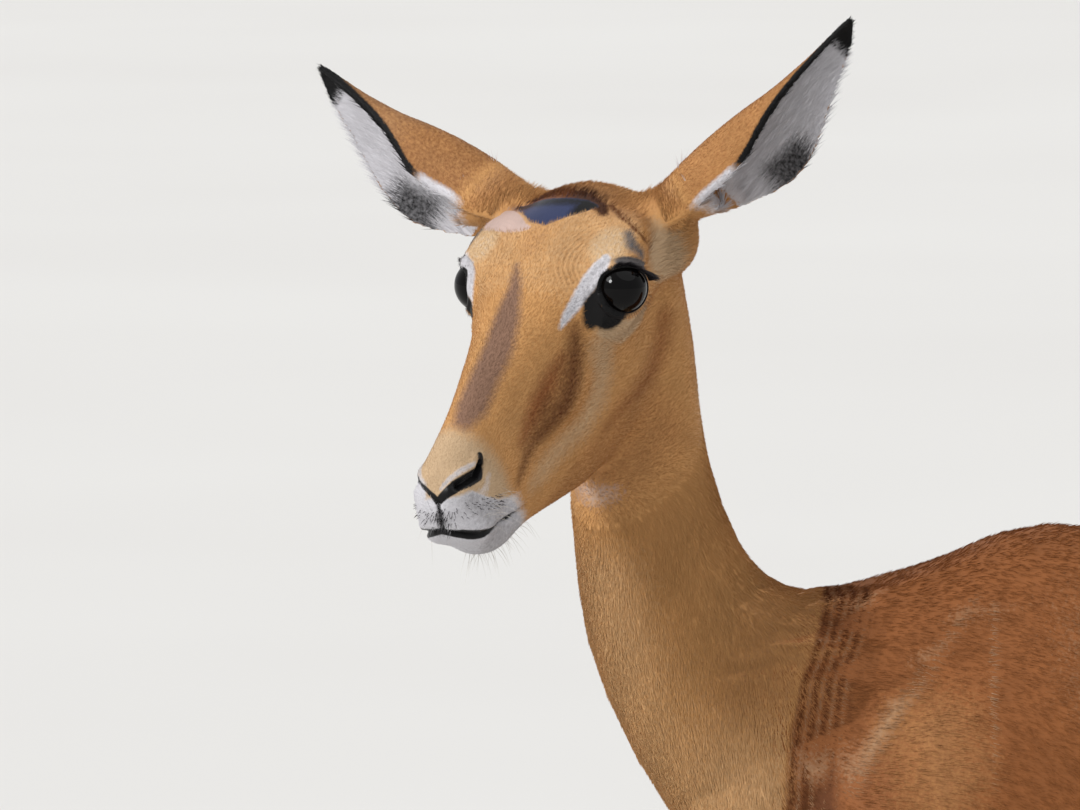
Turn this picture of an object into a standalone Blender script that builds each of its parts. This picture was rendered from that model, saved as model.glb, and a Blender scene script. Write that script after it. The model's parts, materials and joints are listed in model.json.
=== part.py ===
"""A standing impala ewe at life size, looking round over its left shoulder, as a still model.

The whole animal is one clay form, closed by a voxel remesh and thinned. Flat cuts then part
it into head, neck, trunk, tail and legs. Eyes, ears and hooves are solids of their own.
Metres, +Z up. The animal faces -Y and its left side is +X; it stands on Z = 0.
"""

import math

import bmesh
import bpy
import numpy as np
from mathutils import Matrix, Vector

for old in list(bpy.data.objects):
    bpy.data.objects.remove(old)


# ---------------------------------------------------------------- driving dimensions
HEAD_CENTRE = Vector((0.075, -0.500, 0.992))  # midway between the eyeballs
HEAD_YAW = math.radians(50.0)  # turned to its left, from straight ahead
HEAD_PITCH = math.radians(42.0)  # the nose bridge below the horizon
HEAD_ROLL = math.radians(2.5)  # left side up
EYE_PLACE = (-0.0103, 0.0485, -0.0068)  # forward, left, up in the head's own frame
EYE_RADIUS = 0.0160
EYE_AXIS = (0.49, 0.735, 0.465)  # forward, left, up: where the left eye looks
LID_OPENING = (0.0152, 0.0146)  # half the slit of the lids along it and across it
LID_SLANT = math.radians(36.0)  # from the nose bridge's line up to the line of the slit
EAR_ROOT = (-0.073, 0.055, -0.010)  # forward, left, up: the middle of an ear's base, inside the head
RING = 40  # points round one cross-section


# ---------------------------------------------------------------- cross-sections and lofts
def smooth_rows(rows, count):
    """Rows of sizes, blended by a smooth curve through every row: the first column is the station."""
    table = np.array(rows, float)
    at, slopes = table[:, 0], np.gradient(table, table[:, 0], axis=0)
    want = np.linspace(at[0], at[-1], count)
    order = np.sign(at[-1] - at[0])
    i = np.clip(np.searchsorted(at * order, want * order, side="right") - 1, 0, len(at) - 2)
    step = (at[i + 1] - at[i])[:, None]
    t = ((want - at[i]) / (at[i + 1] - at[i]))[:, None]
    a, b = 2 * t**3 - 3 * t**2 + 1, t**3 - 2 * t**2 + t
    c, d = 3 * t**2 - 2 * t**3, t**3 - t**2
    return a * table[i] + b * step * slopes[i] + c * table[i + 1] + d * step * slopes[i + 1]


def oval(half_width, top, bottom, taper=0.0, power=2.0):
    """One cross-section as side and up values: a superellipse, wider above by taper."""
    angle = np.linspace(0, 2 * math.pi, RING, endpoint=False)
    side, up = np.cos(angle), np.sin(angle)
    side = np.sign(side) * np.abs(side) ** (2 / power)
    up = np.sign(up) * np.abs(up) ** (2 / power)
    return half_width * side * (1 + taper * up), (top + bottom) / 2 + (top - bottom) / 2 * up


def new_object(name, work):
    """An object from a finished bmesh, with its faces pointing out."""
    bmesh.ops.recalc_face_normals(work, faces=work.faces)
    mesh = bpy.data.meshes.new(name)
    work.to_mesh(mesh)
    work.free()
    made = bpy.data.objects.new(name, mesh)
    bpy.context.scene.collection.objects.link(made)
    return made


def loft(name, rings):
    """A closed body through rings of points, with a fan at each end."""
    work = bmesh.new()
    rows = [[work.verts.new(Vector(point)) for point in ring] for ring in rings]
    count = len(rows[0])
    for here, there in zip(rows, rows[1:]):
        for k in range(count):
            n = (k + 1) % count
            work.faces.new((here[k], here[n], there[n], there[k]))
    for ring in (rows[0], rows[-1]):
        middle = work.verts.new(sum((v.co for v in ring), Vector()) / count)
        for k in range(count):
            work.faces.new((ring[k], ring[(k + 1) % count], middle))
    return new_object(name, work)


def ball(name, centre, radii, frame):
    """An ellipsoid of clay, placed by a frame."""
    work = bmesh.new()
    bmesh.ops.create_uvsphere(work, u_segments=20, v_segments=10, radius=1.0)
    bmesh.ops.scale(work, vec=radii, verts=work.verts)
    bmesh.ops.translate(work, vec=centre, verts=work.verts)
    bmesh.ops.transform(work, matrix=frame, verts=work.verts)
    return new_object(name, work)


# ---------------------------------------------------------------- frames of the head
def frame_of(x_axis, y_axis, z_axis, origin):
    frame = Matrix((x_axis, y_axis, z_axis)).transposed().to_4x4()
    frame.translation = origin
    return frame


def level_frame():
    """Ahead, left and up of the turned head, without its nod or tilt."""
    ahead = Vector((math.sin(HEAD_YAW), -math.cos(HEAD_YAW), 0))
    left = Vector((math.cos(HEAD_YAW), math.sin(HEAD_YAW), 0))
    return frame_of(ahead, left, Vector((0, 0, 1)), HEAD_CENTRE)


def head_frame():
    """Forward along the nose bridge, left, and up out of the forehead."""
    nod = Matrix.Rotation(HEAD_PITCH, 4, "Y")
    tilt = Matrix.Rotation(HEAD_ROLL, 4, "X")
    return level_frame() @ nod @ tilt


# ---------------------------------------------------------------- trunk and tail
# y, top, bottom, half width, taper, power
TRUNK = (
    (0.392, 0.770, 0.665, 0.040, 0.00, 2.0),
    (0.375, 0.805, 0.610, 0.068, 0.00, 2.0),
    (0.330, 0.836, 0.570, 0.092, 0.05, 2.1),
    (0.250, 0.848, 0.550, 0.100, 0.05, 2.2),
    (0.140, 0.836, 0.538, 0.100, 0.00, 2.2),
    (0.020, 0.822, 0.512, 0.112, -0.08, 2.1),
    (-0.090, 0.826, 0.494, 0.112, -0.14, 2.1),
    (-0.180, 0.840, 0.496, 0.098, -0.22, 2.1),
    (-0.260, 0.810, 0.512, 0.086, -0.12, 2.1),
    (-0.320, 0.775, 0.545, 0.074, 0.00, 2.0),
    (-0.370, 0.735, 0.590, 0.056, 0.00, 2.0),
    (-0.400, 0.700, 0.635, 0.030, 0.00, 2.0),
)
# station, y, z, half width, half depth
TAIL = (
    (0.0, 0.350, 0.795, 0.0140, 0.0140),
    (1.0, 0.395, 0.795, 0.0150, 0.0120),
    (2.0, 0.422, 0.765, 0.0170, 0.0110),
    (3.0, 0.428, 0.720, 0.0210, 0.0120),
    (4.0, 0.430, 0.670, 0.0230, 0.0130),
    (5.0, 0.430, 0.620, 0.0230, 0.0130),
    (6.0, 0.430, 0.570, 0.0180, 0.0110),
    (7.0, 0.430, 0.530, 0.0090, 0.0070),
    (7.5, 0.430, 0.512, 0.0025, 0.0025),
)


def trunk_clay():
    rings = []
    for y, top, bottom, half_width, taper, power in smooth_rows(TRUNK, 60):
        side, up = oval(half_width, top, bottom, taper, power)
        rings.append([(s, y, u) for s, u in zip(side, up)])
    return loft("trunk_clay", rings)


def tail_clay():
    rows = smooth_rows(TAIL, 50)
    course = np.gradient(rows[:, 1:3], axis=0)
    rings = []
    for (_, y, z, half_width, half_depth), (dy, dz) in zip(rows, course):
        out = Vector((0, -dz, dy)).normalized()
        side, up = oval(half_width, half_depth, -half_depth)
        rings.append([Vector((s, y, z)) + out * u for s, u in zip(side, up)])
    return loft("tail_clay", rings)


# ---------------------------------------------------------------- neck
# station, front y, front z, back y, back z, middle x, half width
NECK = (
    (0.0, -0.300, 0.545, -0.150, 0.800, 0.000, 0.076),
    (0.8, -0.365, 0.610, -0.215, 0.826, 0.000, 0.067),
    (1.4, -0.403, 0.658, -0.262, 0.813, 0.000, 0.060),
    (2.0, -0.427, 0.694, -0.300, 0.802, 0.000, 0.053),
    (2.6, -0.446, 0.732, -0.333, 0.804, 0.000, 0.047),
    (3.2, -0.459, 0.770, -0.356, 0.822, 0.000, 0.043),
    (3.9, -0.466, 0.810, -0.372, 0.853, 0.001, 0.040),
    (4.6, -0.470, 0.855, -0.383, 0.888, 0.003, 0.038),
    (5.3, -0.472, 0.900, -0.389, 0.922, 0.006, 0.037),
    (6.0, -0.474, 0.945, -0.394, 0.957, 0.010, 0.037),
    (6.6, -0.476, 0.985, -0.401, 0.993, 0.014, 0.036),
    (7.2, -0.470, 1.012, -0.408, 1.022, 0.018, 0.032),
    (7.6, -0.462, 1.026, -0.415, 1.036, 0.021, 0.024),
)


def neck_clay():
    rings = []
    for _, front_y, front_z, back_y, back_z, x, half_width in smooth_rows(NECK, 60):
        front, back = Vector((x, front_y, front_z)), Vector((x, back_y, back_z))
        middle, reach = (front + back) / 2, (back - front) / 2
        side, up = oval(half_width, 1, -1)
        rings.append([Vector((s, 0, 0)) + middle + reach * u for s, u in zip(side, up)])
    return loft("neck_clay", rings)


# ---------------------------------------------------------------- legs
# height, front y, back y, middle x, half width, power
FORELEG = (
    (0.790, -0.215, -0.125, 0.040, 0.022, 2.0),
    (0.720, -0.290, -0.120, 0.068, 0.028, 2.0),
    (0.650, -0.335, -0.130, 0.083, 0.031, 2.0),
    (0.590, -0.315, -0.140, 0.085, 0.032, 2.0),
    (0.530, -0.290, -0.150, 0.084, 0.031, 2.0),
    (0.485, -0.278, -0.172, 0.082, 0.027, 2.0),
    (0.420, -0.266, -0.192, 0.079, 0.0215, 2.0),
    (0.350, -0.256, -0.204, 0.076, 0.0170, 2.0),
    (0.305, -0.253, -0.211, 0.074, 0.0160, 2.0),
    (0.276, -0.257, -0.210, 0.073, 0.0185, 2.3),
    (0.248, -0.252, -0.212, 0.073, 0.0165, 2.3),
    (0.215, -0.245, -0.214, 0.073, 0.0125, 2.0),
    (0.150, -0.243, -0.215, 0.072, 0.0115, 2.0),
    (0.105, -0.243, -0.214, 0.072, 0.0122, 2.0),
    (0.080, -0.248, -0.208, 0.072, 0.0165, 2.2),
    (0.058, -0.258, -0.218, 0.072, 0.0150, 2.2),
    (0.040, -0.268, -0.224, 0.072, 0.0175, 2.3),
    (0.008, -0.278, -0.222, 0.072, 0.0175, 2.3),
)
HIND_LEG = (
    (0.800, 0.240, 0.345, 0.055, 0.028, 2.0),
    (0.730, 0.185, 0.388, 0.068, 0.040, 2.0),
    (0.660, 0.155, 0.402, 0.075, 0.045, 2.0),
    (0.600, 0.138, 0.392, 0.077, 0.043, 2.0),
    (0.545, 0.142, 0.366, 0.078, 0.039, 2.0),
    (0.490, 0.172, 0.348, 0.078, 0.033, 2.0),
    (0.430, 0.212, 0.340, 0.077, 0.0265, 2.0),
    (0.375, 0.252, 0.343, 0.076, 0.0215, 2.0),
    (0.340, 0.278, 0.355, 0.075, 0.0185, 2.0),
    (0.312, 0.296, 0.372, 0.075, 0.0175, 2.1),
    (0.285, 0.310, 0.372, 0.075, 0.0185, 2.3),
    (0.255, 0.318, 0.362, 0.075, 0.0170, 2.3),
    (0.215, 0.320, 0.354, 0.074, 0.0135, 2.0),
    (0.150, 0.320, 0.351, 0.074, 0.0125, 2.0),
    (0.108, 0.319, 0.352, 0.074, 0.0130, 2.0),
    (0.082, 0.314, 0.357, 0.074, 0.0170, 2.2),
    (0.060, 0.304, 0.346, 0.074, 0.0155, 2.2),
    (0.040, 0.294, 0.340, 0.074, 0.0175, 2.3),
    (0.008, 0.284, 0.342, 0.074, 0.0175, 2.3),
)
# name, sizes, side, how far back it stands
LEGS = (
    ("foreleg_left", FORELEG, 1, 0.000),
    ("foreleg_right", FORELEG, -1, 0.030),
    ("hind_leg_left", HIND_LEG, 1, 0.030),
    ("hind_leg_right", HIND_LEG, -1, -0.030),
)
LEG_ROOT = 0.56  # above this height a leg's place on the trunk is fixed
CORONET = (0.018, 0.036)  # height of the hoof's top edge at heel and toe


def leg_clay(name, sizes, side_sign, stride):
    rings = []
    for z, front, back, x, half_width, power in smooth_rows(sizes, 110):
        step = stride * min(1.0, max(0.0, (LEG_ROOT - z) / LEG_ROOT))
        side, along = oval(half_width, -front, -back, 0, power)
        rings.append([(side_sign * x + s, step - a, z) for s, a in zip(side, along)])
    return loft(name + "_clay", rings)


# ---------------------------------------------------------------- head
# forward, top, bottom, half width, taper, power
SKULL = (
    (0.1765, -0.006, -0.028, 0.0110, 0.00, 2.0),
    (0.1720, 0.001, -0.036, 0.0170, 0.00, 2.0),
    (0.1600, 0.0090, -0.043, 0.0203, 0.00, 2.1),
    (0.1450, 0.0140, -0.047, 0.0208, 0.00, 2.1),
    (0.1250, 0.0170, -0.052, 0.0208, 0.00, 2.1),
    (0.1065, 0.0190, -0.058, 0.0215, 0.00, 2.1),
    (0.0800, 0.0215, -0.062, 0.0245, 0.05, 2.1),
    (0.0500, 0.0230, -0.064, 0.0305, 0.08, 2.1),
    (0.0200, 0.0235, -0.066, 0.0395, 0.12, 2.2),
    (0.0000, 0.0235, -0.068, 0.0450, 0.15, 2.3),
    (-0.0200, 0.0235, -0.068, 0.0490, 0.16, 2.3),
    (-0.0400, 0.0235, -0.066, 0.0500, 0.14, 2.2),
    (-0.0560, 0.0215, -0.064, 0.0470, 0.06, 2.1),
    (-0.0720, 0.0160, -0.060, 0.0420, 0.00, 2.0),
    (-0.0900, 0.0020, -0.050, 0.0330, 0.00, 2.0),
    (-0.1020, -0.0180, -0.045, 0.0200, 0.00, 2.0),
)
JAW = (
    (0.1670, -0.034, -0.0505, 0.0080, 0.0, 2.0),
    (0.1590, -0.030, -0.0605, 0.0130, 0.0, 2.0),
    (0.1450, -0.030, -0.0700, 0.0155, 0.0, 2.1),
    (0.1230, -0.030, -0.0770, 0.0170, 0.0, 2.2),
    (0.1050, -0.030, -0.0862, 0.0180, 0.0, 2.2),
    (0.0825, -0.030, -0.0985, 0.0200, 0.0, 2.2),
    (0.0530, -0.030, -0.1130, 0.0235, 0.0, 2.2),
    (0.0300, -0.030, -0.1190, 0.0265, 0.0, 2.2),
    (0.0020, -0.025, -0.1190, 0.0300, 0.0, 2.2),
    (-0.0250, -0.025, -0.1110, 0.0320, 0.0, 2.2),
    (-0.0500, -0.025, -0.0940, 0.0310, 0.0, 2.0),
    (-0.0720, -0.025, -0.0720, 0.0260, 0.0, 2.0),
    (-0.0850, -0.025, -0.0550, 0.0200, 0.0, 2.0),
)
# name, centre (forward, left, up), radii; each is made on both sides
HEAD_MASSES = (
    ("cheek", (-0.014, 0.0180, -0.070), (0.058, 0.0200, 0.046)),
    ("orbit", (-0.012, 0.0400, -0.012), (0.0300, 0.0190, 0.0260)),
    ("lids", EYE_PLACE, (0.0182, 0.0180, 0.0182)),
    ("brow", (-0.030, 0.0430, 0.003), (0.032, 0.0200, 0.0160)),
    ("cheek_bone", (0.030, 0.0200, -0.032), (0.056, 0.0155, 0.022)),
    ("temple_arch", (-0.038, 0.0390, -0.028), (0.034, 0.0130, 0.018)),
    ("nostril_wing", (0.1530, 0.0115, 0.000), (0.018, 0.0075, 0.010)),
    ("upper_lip", (0.1530, 0.0125, -0.028), (0.0235, 0.0120, 0.0175)),
    ("ear_root", (-0.072, 0.0460, -0.024), (0.026, 0.0210, 0.031)),
)


def head_clay():
    frame = head_frame()
    made = []
    for name, sizes in (("skull", SKULL), ("jaw", JAW)):
        rings = []
        for forward, top, bottom, half_width, taper, power in smooth_rows(sizes, 50):
            side, up = oval(half_width, top, bottom, taper, power)
            rings.append([frame @ Vector((forward, s, u)) for s, u in zip(side, up)])
        made.append(loft(name, rings))
    for name, (forward, left, up), radii in HEAD_MASSES:
        for sign in (1, -1):
            made.append(ball(name, (forward, sign * left, up), radii, frame))
    return made


def eye_frame(sign):
    """An eyeball's own axes: along the slit to the inner corner, across the slit, and out."""
    frame = head_frame()
    forward, left, up = EYE_AXIS
    out = (frame.to_3x3() @ Vector((forward, sign * left, up))).normalized()
    across = frame.to_3x3() @ Vector((-math.sin(LID_SLANT), 0, math.cos(LID_SLANT)))
    across = (across - out * across.dot(out)).normalized()
    along = out.cross(across) * sign
    forward, left, up = EYE_PLACE
    return frame_of(along, across, out, frame @ Vector((forward, sign * left, up)))


# ---------------------------------------------------------------- ears
# name, side, tip from root (ahead, outward, up in the level frame), turn of the opening, breadth
EARS = (
    ("ear_left", 1, (0.012, 0.128, 0.122), math.radians(16), 0.90),
    ("ear_right", -1, (-0.022, 0.150, 0.082), math.radians(-16), 1.08),
)
# station, spine, front edge, back edge across the ear, depth of the cup, thickness
EAR = (
    (0.00, -0.0155, 0.0060, 0.0080, 0.0270, 0.0040),
    (0.10, -0.0155, 0.0105, 0.0215, 0.0325, 0.0038),
    (0.20, -0.0150, 0.0110, 0.0300, 0.0335, 0.0036),
    (0.30, -0.0138, 0.0130, 0.0370, 0.0325, 0.0034),
    (0.40, -0.0118, 0.0130, 0.0410, 0.0300, 0.0032),
    (0.50, -0.0088, 0.0080, 0.0395, 0.0260, 0.0030),
    (0.60, -0.0052, 0.0040, 0.0335, 0.0210, 0.0030),
    (0.70, -0.0030, 0.0020, 0.0260, 0.0160, 0.0028),
    (0.80, -0.0015, 0.0012, 0.0190, 0.0115, 0.0026),
    (0.90, -0.0010, 0.0010, 0.0125, 0.0075, 0.0024),
    (0.97, -0.0008, 0.0008, 0.0060, 0.0035, 0.0022),
    (1.00, -0.0006, 0.0005, 0.0020, 0.0015, 0.0020),
)
EAR_CURL = 1.12  # in quarter turns: past one, so that the edges lean in
EAR_STEPS = 20  # points along one wall of the cup


def ear_axes(sign, reach, turn):
    """Root of one ear, and world vectors along it, across it to its open side, and forward."""
    level = level_frame().to_3x3()
    root = head_frame() @ Vector((EAR_ROOT[0], sign * EAR_ROOT[1], EAR_ROOT[2]))
    along = level @ Vector((reach[0], sign * reach[1], reach[2]))
    facing = level @ Vector((math.cos(turn), sign * math.sin(turn), 0))
    across = along.cross(facing).normalized() * sign
    facing = (across.cross(along) * sign).normalized()
    return root, along, across, facing


def ear_section(spine, front, back, depth, thickness):
    """One slice of the cup: two quarter-oval walls from the spine, given a thickness inward."""
    turns = np.linspace(-1, 1, 2 * EAR_STEPS + 1)
    edge = np.where(turns < 0, front, back)
    bend = np.abs(turns) * EAR_CURL * math.pi / 2
    across = spine + (edge - spine) * (1 - np.cos(np.minimum(bend, math.pi / 2)))
    facing = -np.sign(turns) * depth / 2 * np.sin(bend)
    outer = np.stack([across, facing], axis=1)
    course = np.gradient(outer, axis=0)
    course /= np.linalg.norm(course, axis=1)[:, None]
    inward = np.stack([course[:, 1], -course[:, 0]], axis=1)
    taper = np.minimum(1.0, 1.25 * (1.02 - np.abs(turns)) ** 0.12)[:, None]
    return np.concatenate([outer, (outer + inward * thickness * taper)[::-1]])


def ear_clay(name, sign, reach, turn, breadth):
    root, along, across, facing = ear_axes(sign, reach, turn)
    rings = []
    for station, *sizes in smooth_rows(EAR, 60):
        middle = root + along * station
        rings.append([middle + across * x * breadth + facing * y for x, y in ear_section(*sizes)])
    return loft(name + "_clay", rings)


# ---------------------------------------------------------------- hooves
HOOF_LEAN = 0.020  # how far the toe reaches in front of the top edge
CLAW_WIDTH = 0.0172
CLEFT = 0.0016  # between the two claws of a foot


def foot_of(sizes, side_sign, stride):
    """Middle x, and front and back y of the top edge, of one foot."""
    height = CORONET[1]
    _, front, back, x, _, _ = min(smooth_rows(sizes, 110), key=lambda row: abs(row[0] - height))
    step = stride * (LEG_ROOT - height) / LEG_ROOT
    return side_sign * x, front + step, back + step


def claw(name, middle, outward, front, back):
    """One claw: a wall of horn that leans out to the toe, flat below and pointed in front."""
    half = CLAW_WIDTH / 2
    centre = middle + outward * (half + CLEFT / 2)
    rings = []
    for level in np.linspace(0, 1, 4):
        toe, heel = front - HOOF_LEAN * (1 - level), back - 0.002 * (1 - level)
        ring = []
        for angle in np.linspace(0, 2 * math.pi, 16, endpoint=False):
            along = (1 - math.cos(angle)) / 2  # 0 at the heel, 1 at the toe
            side = math.sin(angle)
            side = math.copysign(abs(side) ** 0.8, side) * (1 - 0.35 * along**3)
            lean = 0.0016 * outward * (1 - level) * (side * outward > 0)
            height = CORONET[0] + (CORONET[1] - CORONET[0]) * along
            ring.append((centre + half * side + lean, heel + (toe - heel) * along, height * level))
        rings.append(ring)
    return loft(name, rings)


# ---------------------------------------------------------------- cuts
GAP = 0.0003  # between pieces that touch
FAR = 0.6  # reach of a cutter past the animal
NECK_CUT = (Vector((0, -0.36, 0.74)), Vector((0, -1, 1)))  # a point and the way to the head
HEAD_CUT = (-0.030, 0.868, math.radians(38))  # ahead of the head's centre, height, slope
EAR_CUT = 0.13  # along the ear
EAR_BOX = ((-0.05, -0.04, 0), (0.06, 0.04, 0.2))  # in the ear's own axes, out from its cut
EAR_PLUG = ((0.004, 0, 0), (0.016, 0.012, 0.016))  # middle and radii of the clay that closes its mouth
FOOT_BOX = ((-0.05, -0.08, -0.08), (0.05, 0.08, GAP))  # below the slope of the hooves' top
LID_TUBE = 0.05  # how far the cutter of the lids' opening reaches out
FORELEG_BOX = ((0.036, -0.370, -0.02), (0.200, -0.135, 0.555))
HIND_LEG_BOX = ((0.022, 0.125, -0.02), (0.200, 0.404, 0.600))
TAIL_BOX = ((-0.06, 0.4045, 0.45), (0.06, 0.50, 0.86))

# ---------------------------------------------------------------- fineness of the solids
VOXEL = 0.0034
EAR_VOXEL = 0.0016
SOFT_ROUNDS = 34  # of smoothing where body and limbs blend
KEPT = {  # of that smoothing, how much each form is spared
    "muzzle": 0.88, "eyes": 0.9, "ears": 0.9, "head": 0.45, "legs": 0.85, "tail": 0.9
}
HEAD_REACH = 0.18  # from the head's centre, as far as the head goes
FINE_ROUNDS = 8
FLESH_RATIO = 0.0168  # of the remeshed faces that are kept
SPARED = {"face": 0.75, "head": 0.35, "limbs": 0.27}  # how far thinning spares the finer forms
EAR_RATIO = 0.019

COLOURS = {  # base colour, roughness
    "coat": ((0.50, 0.25, 0.10), 0.75),
    "ear": ((0.55, 0.36, 0.20), 0.80),
    "eye": ((0.010, 0.008, 0.008), 0.08),
    "horn": ((0.025, 0.022, 0.020), 0.45),
}

parts = bpy.data.collections.new("Impala")
cutters = bpy.data.collections.new("Cutters")
for collection in (parts, cutters):
    bpy.context.scene.collection.children.link(collection)


def finish_material(name):
    colour, roughness = COLOURS[name]
    material = bpy.data.materials.new(name)
    material.use_nodes = True
    shader = material.node_tree.nodes["Principled BSDF"]
    shader.inputs["Base Color"].default_value = (*colour, 1)
    shader.inputs["Roughness"].default_value = roughness
    shader.inputs["Metallic"].default_value = 0
    return material


MATERIALS = {name: finish_material(name) for name in COLOURS}


def into(collection, made):
    """Moves an object from the scene's own collection into one of the two."""
    bpy.context.scene.collection.objects.unlink(made)
    collection.objects.link(made)
    return made


def joined(name, pieces):
    """One object of several pieces of clay, which may overlap."""
    work = bmesh.new()
    for piece in pieces:
        work.from_mesh(piece.data)
        bpy.data.objects.remove(piece)
    return new_object(name, work)


def modify(made, kind, **settings):
    modifier = made.modifiers.new(kind.title(), kind)
    for key, value in settings.items():
        setattr(modifier, key, value)


def settle(made):
    """Fixes what the modifiers have done so far into the mesh."""
    graph = bpy.context.evaluated_depsgraph_get()
    mesh = bpy.data.meshes.new_from_object(made.evaluated_get(graph))
    made.modifiers.clear()
    made.data = mesh


def weigh(made, group, weight_at):
    """A vertex group whose weights are a function of place."""
    group = made.vertex_groups.new(name=group)
    for vertex in made.data.vertices:
        group.add([vertex.index], weight_at(vertex.co), "REPLACE")


def box(name, lowest, highest, frame, grow=0.0):
    """A cutting box between two corners, in a frame of its own."""
    lowest, highest = Vector(lowest), Vector(highest)
    work = bmesh.new()
    bmesh.ops.create_cube(work, size=1)
    bmesh.ops.scale(work, vec=highest - lowest + Vector([2 * grow] * 3), verts=work.verts)
    bmesh.ops.translate(work, vec=(lowest + highest) / 2, verts=work.verts)
    bmesh.ops.transform(work, matrix=frame, verts=work.verts)
    made = into(cutters, new_object(name, work))
    made.hide_render = True
    made.display_type = "WIRE"
    return made


def cut(made, operation, cutter):
    modify(made, "BOOLEAN", operation=operation, object=cutter, solver="EXACT")


def tube(name, radii, length, frame):
    """An oval cutter from a frame's origin out along its Z."""
    work = bmesh.new()
    bmesh.ops.create_cone(work, cap_ends=True, segments=28, radius1=1, radius2=1, depth=1)
    bmesh.ops.scale(work, vec=(*radii, length), verts=work.verts)
    bmesh.ops.translate(work, vec=(0, 0, length / 2), verts=work.verts)
    bmesh.ops.transform(work, matrix=frame, verts=work.verts)
    return new_object(name, work)


def facing_frame(point, out):
    """A frame at a point, with Z along out."""
    return Matrix.Translation(point) @ Vector(out).to_track_quat("Z", "Y").to_matrix().to_4x4()


# ---------------------------------------------------------------- the flesh in one piece
def between(value, none, full):
    """0 up to one bound and 1 past the other, even between them."""
    return min(1.0, max(0.0, (value - none) / (full - none)))


def head_nearness(place):
    """1 in the head and ears, 0 in the rest."""
    return between((place - HEAD_CENTRE).length, HEAD_REACH, HEAD_REACH - 0.05)


def muzzle_nearness(place):
    forward = (head_frame().inverted() @ place).x
    return head_nearness(place) * between(forward, 0.09, 0.14)


def eye_nearness(place):
    distance = min((place - eye_frame(sign).translation).length for sign in (1, -1))
    return between(distance, 0.034, 0.022)


def ear_nearness(place):
    left = (head_frame().inverted() @ place).y
    return head_nearness(place) * between(abs(left), 0.060, 0.080)


def softness(place):
    """How far smoothing may blend one form into the next: less at the muzzle and the feet."""
    return 1.0 - max(
        KEPT["muzzle"] * muzzle_nearness(place),
        KEPT["eyes"] * eye_nearness(place),
        KEPT["ears"] * ear_nearness(place),
        KEPT["head"] * head_nearness(place),
        KEPT["legs"] * between(place.z, 0.50, 0.35),
        KEPT["tail"] * (place.y > TAIL_BOX[0][1]),
    )


def thinness(place):
    """How freely triangles may be spent: less on the trunk than on the head and the limbs."""
    limbs = place.z < 0.52 or place.y > TAIL_BOX[0][1]
    fine = max(muzzle_nearness(place), eye_nearness(place))
    return 1.0 - max(
        SPARED["head"] * head_nearness(place), SPARED["limbs"] * limbs, SPARED["face"] * fine
    )


def ear_stump(name, sign, reach, turn, breadth):
    """The closed root on which an ear sits, out to its cut."""
    root, along, across, facing = ear_axes(sign, reach, turn)
    rings = []
    for station in np.linspace(-0.05, EAR_CUT + 0.05, 8):
        _, spine, _, back, depth, _ = smooth_rows(EAR, 101)[int(100 * max(0.0, station))]
        centre = root + along * station + across * breadth * (spine + back) / 2
        reach_across, reach_facing = breadth * (back - spine) / 2, depth / 2
        rings.append([
            centre + across * (reach_across * math.cos(a)) + facing * (reach_facing * math.sin(a))
            for a in np.linspace(0, 2 * math.pi, 24, endpoint=False)
        ])
    return loft(name + "_stump", rings)


def make_flesh():
    clay = [trunk_clay(), neck_clay(), tail_clay(), *head_clay()]
    clay += [leg_clay(*leg) for leg in LEGS]
    clay += [ear_stump(*ear) for ear in EARS]
    flesh = joined("flesh", clay)
    modify(flesh, "REMESH", mode="VOXEL", voxel_size=VOXEL)
    settle(flesh)
    weigh(flesh, "soft", softness)
    modify(flesh, "SMOOTH", factor=0.5, iterations=SOFT_ROUNDS, vertex_group="soft")
    modify(flesh, "SMOOTH", factor=0.5, iterations=FINE_ROUNDS)
    settle(flesh)
    weigh(flesh, "thin", thinness)
    modify(flesh, "DECIMATE", ratio=FLESH_RATIO, vertex_group="thin", vertex_group_factor=1.0)
    settle(flesh)
    return flesh


def node(name, mesh, material):
    made = bpy.data.objects.new(name, mesh)
    parts.objects.link(made)
    mesh.materials.clear()
    mesh.materials.append(MATERIALS[material])
    mesh.shade_smooth()
    return made


def finish_node(made, material):
    into(parts, made)
    made.data.materials.append(MATERIALS[material])
    made.data.shade_smooth()
    made.data.set_sharp_from_angle(angle=math.radians(50))


# ---------------------------------------------------------------- build
here = Matrix.Identity(4)
level = level_frame()
ahead, height, slope = HEAD_CUT
head_point = level @ Vector((ahead, 0, 0))
head_point.z = height
head_out = level.to_3x3() @ Vector((math.sin(slope), 0, math.cos(slope)))
half_space = ((-FAR, -FAR, 0), (FAR, FAR, FAR))
regions = {
    "head": (half_space, facing_frame(head_point, head_out)),
    "neck": (half_space, facing_frame(*NECK_CUT)),
    "tail": (TAIL_BOX, here),
}
for name, sizes, side_sign, _ in LEGS:
    lowest, highest = FORELEG_BOX if sizes is FORELEG else HIND_LEG_BOX
    if side_sign < 0:
        lowest, highest = (-highest[0], *lowest[1:]), (-lowest[0], *highest[1:])
    regions[name] = ((lowest, highest), here)
keep = {name: box(name + "_inside", *corners, frame) for name, (corners, frame) in regions.items()}
leave = {
    name: box(name + "_outside", *corners, frame, grow=GAP)
    for name, (corners, frame) in regions.items()
}

flesh = make_flesh()
bpy.context.scene.collection.objects.unlink(flesh)

trunk = node("trunk", flesh.data.copy(), "coat")
for name in leave:
    if name != "head":
        cut(trunk, "DIFFERENCE", leave[name])

neck = node("neck", flesh.data.copy(), "coat")
cut(neck, "INTERSECT", keep["neck"])
cut(neck, "DIFFERENCE", leave["head"])

tail = node("tail", flesh.data.copy(), "coat")
cut(tail, "INTERSECT", keep["tail"])

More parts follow.
